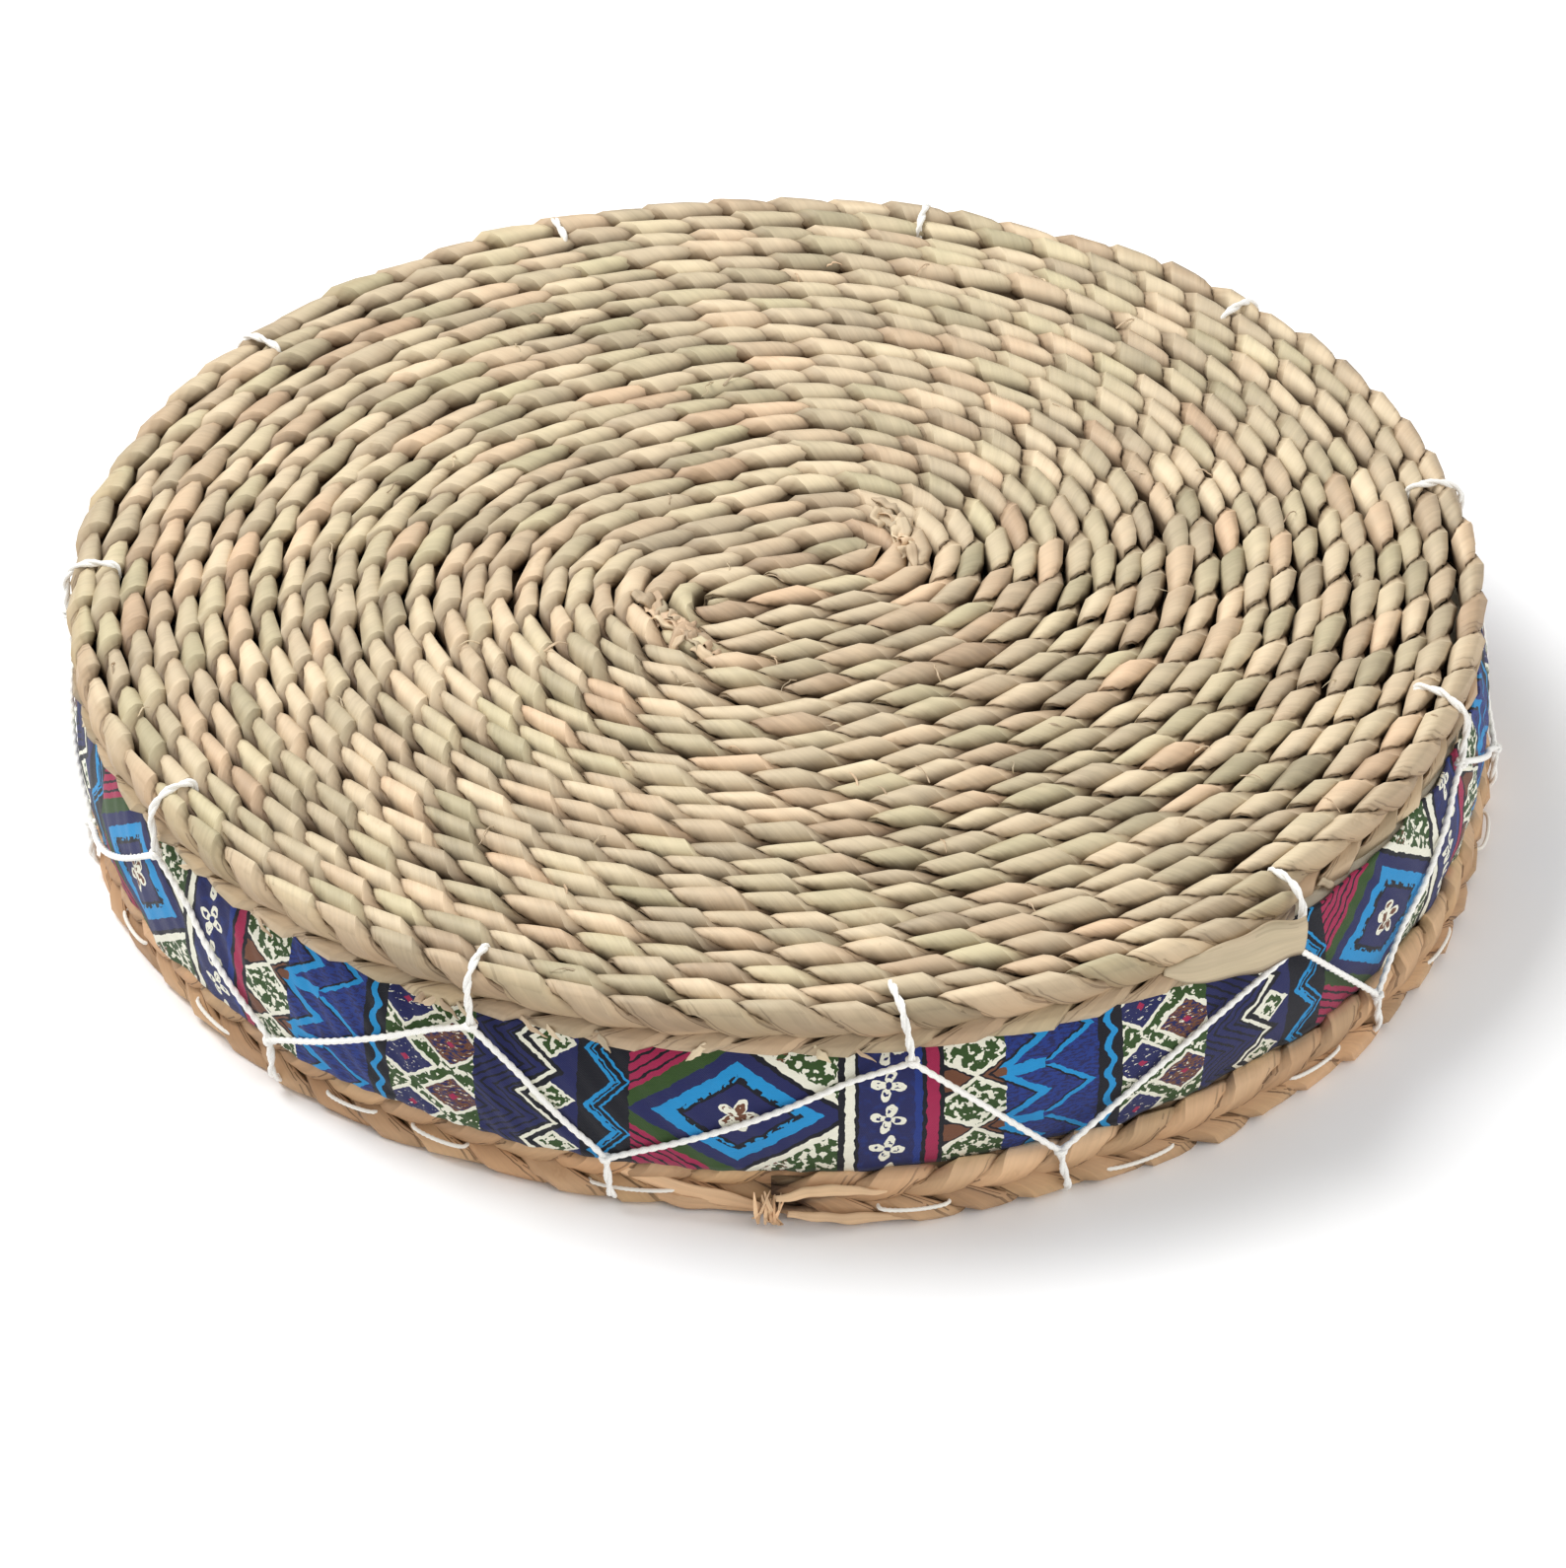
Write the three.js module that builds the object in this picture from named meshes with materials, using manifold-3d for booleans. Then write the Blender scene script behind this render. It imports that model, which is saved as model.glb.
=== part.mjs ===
// A round seat pad. Two spiral mats of plaited reed lie above and below a padded cotton case with a
// printed side band, and a cotton cord laces the rims of the two mats together in a zigzag.
// Millimetres, +Z up. The pad rests on z = 0, its centre is on the Z axis and its front faces -Y.
import * as THREE from "three";
import { mergeVertices } from "three/addons/utils/BufferGeometryUtils.js";
import Module from "manifold-3d";

const wasm = await Module();
wasm.setup();

// Sizes of the whole pad.
const padRadius = 200;
const bottomMatHeight = 16.5;
const caseHeight = 40;
const topMatHeight = 15.5;
const fitGap = 0.3;

// The plait stands on edge, so its width is the height of a mat and its thickness sets the spiral's pitch.
const plaitThickness = 8.1;
const startHalfLength = 24;
const tailLength = 26;
const tailThickness = 3.2;
const stepsPerTurn = Math.round(3.2 * plaitThickness); // a thinner plait makes more turns of fewer steps

// The padded case. The band bulges between the two mats.
const clothThickness = 0.8;
const bandInset = 6;
const bandBulge = 3;
const coreCorner = 4;
const caseSides = 40;

// Cord and threads, by diameter.
const cordDiameter = 1.9;
const threadDiameter = 1;
const seamThreadDiameter = 0.8;
const cordSides = 5;
const threadSides = 4;
const channelClearance = 0.35;
const coilGrooveClearance = 2.2;

// Lacing. Each loop has the angle of its knot, in degrees anticlockwise from +X, and how far its
// other end leans from it.
const topLoops = [
  [-146.9, -1.1],
  [-113.8, -0.5],
  [-80.4, -1],
  [-48, 1.2],
  [-20.2, 2.5],
  [13, 0],
  [45.2, 0],
  [77.2, 0],
  [110.5, 0],
  [142.4, 0],
  [179.2, 0],
];
const bottomLoops = [
  [-134.1, 0.2],
  [-103.6, 0.7],
  [-68.8, 1.4],
  [-37.2, 1],
  [-2.6, 0],
  [29, 0],
  [61.2, 0],
  [93.8, 0],
  [126.4, 0],
  [160.6, 0],
  [-167, 0],
];
const loopReach = 13;
const loopHeel = 4.5;
const cordSink = 0.35;
const knotRadius = 1.7;
const knotSwell = 0.4;
const diagonalStandoff = 0.5;
const diagonalSteps = 3;
const loopSteps = 8;

// Running stitches round the rim of the lower mat.
const rimStitchSpan = 5.4;
const rimStitchShares = [0.25, 0.75];
const rimStitchHeight = 6;
const rimStitchDepth = 3.6;

const degrees = Math.PI / 180;
const fullTurn = 2 * Math.PI;
const cordRadius = cordDiameter / 2;
const threadRadius = threadDiameter / 2;
const caseLow = bottomMatHeight + fitGap;
const caseHigh = caseLow + caseHeight - 2 * fitGap;
const topMatLow = caseHigh + fitGap;
const padHeight = topMatLow + topMatHeight;
const bandRadius = padRadius - bandInset;

// The lower mat is the same as the upper one, turned over, so its spiral runs the other way.
const topMat = { hand: 1, tailAngle: -46, longAxis: 28, low: topMatLow, height: topMatHeight };
const bottomMat = { hand: -1, tailAngle: -91, longAxis: -28, low: 0, height: bottomMatHeight };

function material(colour, roughness) {
  return new THREE.MeshStandardMaterial({ color: colour, roughness, metalness: 0 });
}

const reed = material(0xc8b48a, 0.7);
const agedReed = material(0xb88f62, 0.75);
const printedCotton = material(0x29357c, 0.85);
const plainCotton = material(0xd9d2c2, 0.9);
const foam = material(0xe6e0cf, 0.95);
const cotton = material(0xf1efe9, 0.8);

// A closed three.js geometry as a manifold solid.
function solidOf(geometry) {
  const bare = geometry.clone();
  bare.deleteAttribute("normal");
  bare.deleteAttribute("uv");
  const merged = mergeVertices(bare, 1e-4);
  return new wasm.Manifold(
    new wasm.Mesh({
      numProp: 3,
      vertProperties: new Float32Array(merged.attributes.position.array),
      triVerts: new Uint32Array(merged.index.array),
    }),
  );
}

// A manifold solid as a three.js geometry.
function geometryOf(solid) {
  const mesh = solid.getMesh();
  const geometry = new THREE.BufferGeometry();
  geometry.setAttribute("position", new THREE.BufferAttribute(new Float32Array(mesh.vertProperties), 3));
  geometry.setIndex(new THREE.BufferAttribute(new Uint32Array(mesh.triVerts), 1));
  geometry.computeVertexNormals();
  return geometry;
}

function namedMesh(name, geometry, finish) {
  const mesh = new THREE.Mesh(geometry, finish);
  mesh.name = name;
  return mesh;
}

// A point at a radius, an angle in degrees and a height.
function polar(radius, angle, height) {
  return new THREE.Vector3(
    radius * Math.cos(angle * degrees),
    radius * Math.sin(angle * degrees),
    height,
  );
}

// A round bar carried along a curve.
function tube(curve, radius, sides, steps) {
  const corners = [];
  for (let i = 0; i < sides; i += 1) {
    const turn = (fullTurn * i) / sides;
    corners.push(new THREE.Vector2(radius * Math.cos(turn), radius * Math.sin(turn)));
  }
  return new THREE.ExtrudeGeometry(new THREE.Shape(corners), { steps, extrudePath: curve });
}

// Where a ray from the centre meets the oval that lies at a given level, which is its distance from
// the fold in the middle. The fold is straight, and the ovals become circles towards the rim.
function ovalRadius(direction, level, mat) {
  const halfLength = startHalfLength * Math.max(0, 1 - level / padRadius);
  const along = Math.abs(Math.cos(direction - mat.longAxis * degrees));
  const across = Math.abs(Math.sin(direction - mat.longAxis * degrees));
  if (level * along < halfLength * across) return level / across;
  return halfLength * along + Math.sqrt(level ** 2 - (halfLength * across) ** 2);
}

// The number of turns puts the start of the plait at the end of the fold and its tail at the rim.
function turnsOf(mat) {
  const startAngle = mat.longAxis + 180;
  const turnsBack = (mat.hand * (mat.tailAngle - startAngle)) / 360;
  const partTurn = turnsBack - Math.floor(turnsBack);
  return Math.round(padRadius / plaitThickness - 0.5 - partTurn) + partTurn;
}

function pitchOf(mat) {
  return (padRadius + fitGap / 2) / (turnsOf(mat) + 0.5);
}

// The rim of a mat at an angle in degrees: the outer face of the plait's last turn.
function rimRadius(angle, mat) {
  const turnsBack = (mat.hand * (mat.tailAngle - angle)) / 360;
  return padRadius - pitchOf(mat) * (turnsBack - Math.floor(turnsBack));
}

// One mat: a strip that winds outwards from the fold, with a fitGap between its turns.
function plaitGeometry(mat) {
  const turns = turnsOf(mat);
  const pitch = pitchOf(mat);
  const tailTurns = tailLength / (fullTurn * padRadius);
  const stations = [];
  for (let turn = 0; turn < turns - tailTurns; ) {
    stations.push(turn);
    turn += 1 / stepsPerTurn;
  }
  stations.push(turns - tailTurns, turns - tailTurns / 2, turns);
  const innerEdge = [];
  const outerEdge = [];
  for (const turn of stations) {
    const direction = mat.hand * turn * fullTurn + (mat.longAxis + 180) * degrees;
    const inner = pitch * Math.max(0, turn - 0.5) + fitGap / 2;
    const taper = Math.max(0, (turn - turns + tailTurns) / tailTurns);
    const full = pitch * (turn + 0.5) - fitGap / 2;
    const outer = full - taper * (full - inner - tailThickness);
    innerEdge.push(onRay(ovalRadius(direction, inner, mat), direction));
    outerEdge.push(onRay(ovalRadius(direction, outer, mat), direction));
  }
  const outline = new THREE.Shape([...outerEdge, ...innerEdge.reverse()]);
  const geometry = new THREE.ExtrudeGeometry(outline, { depth: mat.height, bevelEnabled: false });
  return geometry.translate(0, 0, mat.low);
}

function onRay(radius, direction) {
  return new THREE.Vector2(radius * Math.cos(direction), radius * Math.sin(direction));
}

// The outer radius of the side band at a height: an arc between the two mats.
function bandRadiusAt(height) {
  const share = (height - caseLow) / (caseHigh - caseLow);
  const held = Math.min(1, Math.max(0, share));
  return bandRadius + bandBulge * (1 - (2 * held - 1) ** 2);
}

// A closed ring or a solid of revolution about Z, from [radius, height] pairs that run anticlockwise.
function turned(profile) {
  const points = profile.map(([radius, height]) => new THREE.Vector2(radius, height));
  return new THREE.LatheGeometry(points, caseSides).rotateX(Math.PI / 2);
}

function bandProfile() {
  const rows = 4;
  const outer = [];
  for (let i = 0; i <= rows; i += 1) {
    const height = caseLow + ((caseHigh - caseLow) * i) / rows;
    outer.push([bandRadiusAt(height), height]);
  }
  const inner = outer.map(([radius, height]) => [radius - clothThickness, height]).reverse();
  return [...outer, ...inner, outer[0]];
}

function coreProfile() {
  const low = caseLow + clothThickness + fitGap;
  const high = caseHigh - clothThickness - fitGap;
  const skin = clothThickness + fitGap;
  const rows = 3;
  const side = [];
  for (let i = 0; i <= rows; i += 1) {
    const height = low + coreCorner + ((high - low - 2 * coreCorner) * i) / rows;
    side.push([bandRadiusAt(height) - skin, height]);
  }
  const shoulder = bandRadius - skin - coreCorner;
  return [[0, low], [shoulder, low], ...side, [shoulder, high], [0, high]];
}

function liningProfile(low) {
  const radius = bandRadius - clothThickness - fitGap;
  return [[0, low], [radius, low], [radius, low + clothThickness], [0, low + clothThickness]];
}

// A thread ring in the corner between a lining and the band.
function seamRing(height) {
  const radius = seamThreadDiameter / 2;
  const centre = bandRadius - clothThickness - fitGap - radius;
  const profile = [];
  for (let i = 0; i <= threadSides; i += 1) {
    const turn = (fullTurn * i) / threadSides;
    profile.push([centre + radius * Math.cos(turn), height + radius * Math.sin(turn)]);
  }
  return turned(profile);
}

// How far from the axis the cord lies where it crosses the edge of a mat and of the band.
function knotOffset(rim) {
  return Math.max(rim, bandRadius + knotSwell) + knotRadius + fitGap;
}

// The points of a lacing loop: from the knot over the rim, into the plait and back to the knot.
// "out" is the face of the mat that looks away from the case, and "knot" is its edge at the case.
function loopPoints([angle, lean], mat, out, knot) {
  const rim = rimRadius(angle, mat);
  const away = Math.sign(out - knot);
  const face = knotOffset(rim);
  return [
    polar(face, angle, knot),
    polar(face, angle + 0.2 * lean, knot + away * 6),
    polar(face - 0.5, angle + 0.5 * lean, out - away * 4),
    polar(rim - 2, angle + 0.7 * lean, out - away * 0.8),
    polar(rim - loopReach / 2, angle + 0.9 * lean, out),
    polar(rim - loopReach + 1.5, angle + lean, out - away * 0.8),
    polar(rim - loopReach, angle + lean, out - away * 4),
    polar(rim - loopReach / 2, angle + 0.6 * lean, (out + knot) / 2),
    polar(face, angle, knot + away * loopHeel),
  ];
}

// The knots of the lacing, where the diagonals meet the loops just off the edges of the mats.
function knotPoint([angle], mat, height) {
  return { angle, radius: knotOffset(rimRadius(angle, mat)), height };
}

// A diagonal of the lacing from knot to knot, lying on the bulge of the band.
function diagonalCurve(from, to) {
  let span = to.angle - from.angle;
  span -= 360 * Math.round(span / 360);
  const points = [];
  for (let i = 0; i <= diagonalSteps; i += 1) {
    const share = i / diagonalSteps;
    const height = from.height + (to.height - from.height) * share;
    const onBand = bandRadiusAt(height) + cordRadius + fitGap + diagonalStandoff;
    const taut = from.radius + (to.radius - from.radius) * share;
    const ends = (2 * share - 1) ** 4;
    points.push(polar(onBand + (taut - onBand) * ends, from.angle + span * share, height));
  }
  return new THREE.CatmullRomCurve3(points);
}

// The cord lies half sunk in the seat. Under the base it is sunk wholly, so that the pad stands flat.
const topKnotHeight = topMatLow - cordRadius;
const bottomKnotHeight = bottomMatHeight + cordRadius;
const seatCordHeight = padHeight - cordSink;
const baseCordHeight = cordRadius + cordSink;

const topLoopCurves = topLoops.map(
  (loop) => new THREE.CatmullRomCurve3(loopPoints(loop, topMat, seatCordHeight, topKnotHeight)),
);
const bottomLoopCurves = bottomLoops.map(
  (loop) => new THREE.CatmullRomCurve3(loopPoints(loop, bottomMat, baseCordHeight, bottomKnotHeight)),
);

function joined(solids) {
  return solids.reduce((sum, solid) => sum.add(solid));
}

function lacingSolid() {
  const loops = [...topLoopCurves, ...bottomLoopCurves].map((curve) =>
    solidOf(tube(curve, cordRadius, cordSides, loopSteps)),
  );
  const topKnots = topLoops.map((loop) => knotPoint(loop, topMat, topKnotHeight));
  const bottomKnots = bottomLoops.map((loop) => knotPoint(loop, bottomMat, bottomKnotHeight));
  const diagonals = topKnots.flatMap((knot, i) => {
    const before = bottomKnots[(i + bottomKnots.length - 1) % bottomKnots.length];
    return [diagonalCurve(before, knot), diagonalCurve(knot, bottomKnots[i])];
  });
  const runs = diagonals.map((curve) => solidOf(tube(curve, cordRadius, cordSides, diagonalSteps)));
  const knots = [...topKnots, ...bottomKnots].map(({ angle, radius, height }) => {
    const place = polar(radius, angle, height);
    return solidOf(new THREE.IcosahedronGeometry(knotRadius, 0).translate(place.x, place.y, place.z));
  });
  return joined([...knots, ...loops, ...runs]);
}

// The middles of the running stitches: some between each loop of the lacing and the next.
const rimStitchAngles = bottomLoops.flatMap(([angle], i) => {
  const [next] = bottomLoops[(i + 1) % bottomLoops.length];
  const span = next > angle ? next - angle : next + 360 - angle;
  return rimStitchShares.map((share) => angle + span * share);
});

// The running stitch: short lengths outside the rim, and longer ones buried in the outer turn.
function rimStitchCurve() {
  const points = [];
  const half = rimStitchSpan / 2;
  for (const middle of rimStitchAngles) {
    for (const [offset, depth] of [
      [-half - 1.2, rimStitchDepth],
      [-half, 0],
      [0, 0],
      [half, 0],
      [half + 1.2, rimStitchDepth],
    ]) {
      const angle = middle + offset;
      const outside = rimRadius(angle, bottomMat) + threadRadius + fitGap;
      points.push(polar(outside - depth, angle, rimStitchHeight));
    }
  }
  return new THREE.CatmullRomCurve3(points, false, "centripetal");
}

// The thread that sews the last turn of the upper mat to the one before, along its lower edge.
function coilThreadCurve(height) {
  const points = [];
  const steps = 36;
  for (let i = 0; i <= steps; i += 1) {
    const angle = topMat.tailAngle - 8 - (344 * i) / steps;
    const gap = rimRadius(angle, topMat) - pitchOf(topMat);
    points.push(polar(gap, angle, height));
  }
  return new THREE.CatmullRomCurve3(points);
}

// The closing seam of the band, at the back.
function bandSeamCurve() {
  const points = [];
  for (let i = 0; i <= 6; i += 1) {
    const height = caseLow + 2 + ((caseHigh - caseLow - 4) * i) / 6;
    points.push(polar(bandRadiusAt(height) + fitGap + seamThreadDiameter / 2, 90, height));
  }
  return new THREE.CatmullRomCurve3(points);
}

const rimStitchPath = rimStitchCurve();
const coilThreadPath = coilThreadCurve(topMat.low + threadRadius + fitGap);
const rimStitchSteps = rimStitchAngles.length * 5;
const coilThreadSteps = 36;

// A way through a plait for a cord or a thread, wider than it is by the clearance.
function cordWay(curve) {
  return solidOf(tube(curve, cordRadius + channelClearance, cordSides, loopSteps));
}

function topPlaitSolid() {
  const grooveRadius = threadRadius + coilGrooveClearance;
  const groovePath = coilThreadCurve(topMat.low);
  const groove = solidOf(tube(groovePath, grooveRadius, threadSides, coilThreadSteps));
  return solidOf(plaitGeometry(topMat)).subtract(joined([...topLoopCurves.map(cordWay), groove]));
}

function bottomPlaitSolid() {
  const wayRadius = threadRadius + channelClearance;
  const threadWay = solidOf(tube(rimStitchPath, wayRadius, threadSides, rimStitchSteps));
  return solidOf(plaitGeometry(bottomMat)).subtract(joined([...bottomLoopCurves.map(cordWay), threadWay]));
}

const lowerSeamHeight = caseLow + clothThickness + fitGap + seamThreadDiameter / 2;
const upperSeamHeight = caseHigh - clothThickness - fitGap - seamThreadDiameter / 2;
const coilThread = tube(coilThreadPath, threadRadius, threadSides, coilThreadSteps);
const rimThread = tube(rimStitchPath, threadRadius, threadSides, rimStitchSteps);
const bandThread = tube(bandSeamCurve(), seamThreadDiameter / 2, threadSides, 6);

const pieces = [
  namedMesh("bottom_plait", geometryOf(bottomPlaitSolid()), agedReed),
  namedMesh("bottom_rim_thread", rimThread, cotton),
  namedMesh("bottom_lining", turned(liningProfile(caseLow)), plainCotton),
  namedMesh("bottom_seam_thread", seamRing(lowerSeamHeight), cotton),
  namedMesh("foam_core", turned(coreProfile()), foam),
  namedMesh("side_band", turned(bandProfile()), printedCotton),
  namedMesh("band_seam_thread", bandThread, cotton),
  namedMesh("top_seam_thread", seamRing(upperSeamHeight), cotton),
  namedMesh("top_lining", turned(liningProfile(caseHigh - clothThickness)), plainCotton),
  namedMesh("top_coil_thread", coilThread, cotton),
  namedMesh("top_plait", geometryOf(topPlaitSolid()), reed),
  namedMesh("lacing_cord", geometryOf(lacingSolid()), cotton),
];

// The tails make the rims a little lopsided, so the pieces are moved to centre the pad on the Z axis.
const centred = new THREE.Group();
centred.add(...pieces);
const middle = new THREE.Box3().setFromObject(centred).getCenter(new THREE.Vector3());
centred.position.set(-middle.x, -middle.y, 0);

const seatPad = new THREE.Group();
seatPad.add(centred);

export default seatPad;
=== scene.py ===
import bpy
import math
import numpy as np
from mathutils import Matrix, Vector


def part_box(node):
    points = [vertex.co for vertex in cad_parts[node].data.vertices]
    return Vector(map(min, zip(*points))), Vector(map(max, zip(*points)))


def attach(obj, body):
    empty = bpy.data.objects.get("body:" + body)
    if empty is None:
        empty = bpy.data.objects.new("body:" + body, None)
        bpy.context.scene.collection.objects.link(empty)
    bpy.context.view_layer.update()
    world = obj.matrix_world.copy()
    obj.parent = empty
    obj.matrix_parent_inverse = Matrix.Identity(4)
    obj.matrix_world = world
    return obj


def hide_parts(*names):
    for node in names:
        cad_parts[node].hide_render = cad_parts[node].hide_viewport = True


# A round seat pad: two spiral mats of plaited reed, a padded case with a printed band, and a laced rim.
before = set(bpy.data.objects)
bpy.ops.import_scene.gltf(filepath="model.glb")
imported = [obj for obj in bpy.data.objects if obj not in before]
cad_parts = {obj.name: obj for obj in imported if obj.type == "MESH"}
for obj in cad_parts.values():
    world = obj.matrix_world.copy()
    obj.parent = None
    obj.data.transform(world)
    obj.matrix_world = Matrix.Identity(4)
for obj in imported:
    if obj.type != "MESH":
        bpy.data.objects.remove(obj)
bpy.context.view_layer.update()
print("stage: frame loaded")

millimetre = 0.001
fullTurn = 2 * math.pi
upwards = np.array([0.0, 0.0, 1.0])

# Camera, looking at the middle of the base from the front and above.
view = {
    "elevation": math.radians(36.5),
    "distance": 2.2,
    "lens": 178.9,
    "shift": (-0.0006, -0.0031),
}
cameraData = bpy.data.cameras.new("studioCamera")
camera = bpy.data.objects.new("studioCamera", cameraData)
bpy.context.scene.collection.objects.link(camera)
viewDirection = Vector((0, -math.cos(view["elevation"]), math.sin(view["elevation"])))
camera.location = viewDirection * view["distance"]
camera.rotation_euler = (-viewDirection).to_track_quat("-Z", "Y").to_euler()
cameraData.lens = view["lens"]
cameraData.sensor_width = 36
cameraData.shift_x, cameraData.shift_y = view["shift"]
cameraData.clip_start, cameraData.clip_end = 0.1, 20
bpy.context.scene.camera = camera
print("stage: camera placed")

# Sizes of the pad, the same as those of the frame.
pad = {
    "radius": 0.2,
    "plaitThickness": 0.0081,
    "startHalfLength": 0.024,
    "fitGap": 0.0003,
    "bandInset": 0.006,
    "bandBulge": 0.003,
    "clothThickness": 0.0008,
}
topLow, topHigh = (corner.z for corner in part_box("top_plait"))
baseLow, baseHigh = (corner.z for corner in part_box("bottom_plait"))
bandLow, bandHigh = (corner.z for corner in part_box("side_band"))
coreLow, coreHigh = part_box("foam_core")
padCentre = np.array([(coreLow.x + coreHigh.x) / 2, (coreLow.y + coreHigh.y) / 2, 0.0])

mats = {
    "top": {
        "node": "top_plait",
        "slot": "reed",
        "hand": 1,
        "tailAngle": math.radians(-46),
        "longAxis": math.radians(28),
        "middle": (topLow + topHigh) / 2,
        "halfHeight": (topHigh - topLow) / 2,
        "crossing": -0.0013,  # how far off the middle of the height the strands cross
        "seed": 11,
        "pieces": [],
    },
    "base": {
        "node": "bottom_plait",
        "slot": "aged_reed",
        "hand": -1,
        "tailAngle": math.radians(-91),
        "longAxis": math.radians(-28),
        "middle": (baseLow + baseHigh) / 2,
        "halfHeight": (baseHigh - baseLow) / 2,
        "crossing": 0.0,
        "seed": 23,
        "pieces": [],
    },
}


# The number of turns puts the start of the plait at the end of the fold and its tail at the rim.
def turnsOf(mat):
    turnsBack = mat["hand"] * (mat["tailAngle"] - mat["longAxis"] - math.pi) / fullTurn
    partTurn = turnsBack - math.floor(turnsBack)
    return round(pad["radius"] / pad["plaitThickness"] - 0.5 - partTurn) + partTurn


# The space between two turns: the radius shared out among the turns and half a turn more.
def pitchOf(mat):
    return (pad["radius"] + pad["fitGap"] / 2) / (turnsOf(mat) + 0.5)


# Radius of the rim at an angle: it grows by one pitch over the last turn and drops back at the tail.
def rimRadius(angle, mat):
    turnsBack = mat["hand"] * (mat["tailAngle"] - angle) / fullTurn
    return pad["radius"] - pitchOf(mat) * (turnsBack - np.floor(turnsBack))


# Radius of the band at a height: an arc that bulges between its two edges.
def bandRadius(height):
    share = np.clip((height - bandLow) / (bandHigh - bandLow), 0, 1)
    return pad["radius"] - pad["bandInset"] + pad["bandBulge"] * (1 - (2 * share - 1) ** 2)


# Where a ray from the centre meets the oval at a level: a straight-sided oval that rounds off outwards.
def ovalRadius(direction, level, mat):
    half = pad["startHalfLength"] * np.maximum(0, 1 - level / pad["radius"])
    along = np.abs(np.cos(direction - mat["longAxis"]))
    across = np.abs(np.sin(direction - mat["longAxis"]))
    onSide = level / np.maximum(across, 1e-9)
    onEnd = half * along + np.sqrt(np.maximum(level**2 - (half * across) ** 2, 0))
    return np.where(level * along < half * across, onSide, onEnd)


# The distance from the start of a path to each of its points: the sum of the steps so far.
def lengthAlong(path):
    return np.concatenate([[0], np.cumsum(np.linalg.norm(np.diff(path, axis=0), axis=1))])


# Vectors divided by their own lengths.
def unit(vectors):
    return vectors / np.linalg.norm(vectors, axis=-1, keepdims=True)


# Each column of a table at new places, by straight lines between the known ones.
def columnsAt(places, known, table):
    return np.stack([np.interp(places, known, column) for column in table.T], -1)


# The middle line of a plait, every half millimetre of its length: the spiral of ovals, with its
# corners eased by a moving average. Gives positions, unit tangents and unit outward directions.
def windingOf(mat):
    step, easing = 0.5 * millimetre, 6
    turn = turnsOf(mat) * np.linspace(0, 1, 90001) ** 2
    direction = mat["hand"] * turn * fullTurn + mat["longAxis"] + math.pi
    radius = ovalRadius(direction, pitchOf(mat) * turn, mat)
    radius[0] = pad["startHalfLength"]  # the plait starts at the tip of the fold
    line = np.stack([radius * np.cos(direction), radius * np.sin(direction)], 1)
    length = lengthAlong(line)
    stations = np.arange(0, length[-1], step)
    window = np.hanning(2 * easing + 1)
    padded = np.pad(
        columnsAt(stations, length, line), ((easing, easing), (0, 0)), mode="reflect", reflect_type="odd"
    )
    line = np.stack([np.convolve(column, window / window.sum(), "valid") for column in padded.T], 1)
    tangent = unit(np.gradient(line, step, axis=0))
    outward = mat["hand"] * np.stack([tangent[:, 1], -tangent[:, 0]], 1)
    return {"stations": stations, "line": line, "outward": outward, "length": stations[-1]}


for mat in mats.values():
    mat["winding"] = windingOf(mat)
print("stage: spirals worked out,", round(mats["top"]["winding"]["length"], 2), "m of plait in the top mat")


# A smooth random line: a sum of sines of random phase whose wavelengths lie between two lengths.
def wander(places, shortest, longest, random, waves=7):
    lengths = shortest * (longest / shortest) ** random.random(waves)
    phases = random.random(waves) * fullTurn
    return np.sin(places[..., None] * fullTurn / lengths + phases).sum(-1) / math.sqrt(waves / 2)


# A power that keeps the sign: sign(v) |v|^p.
def signedPower(values, power):
    return np.sign(values) * np.abs(values) ** power


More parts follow.
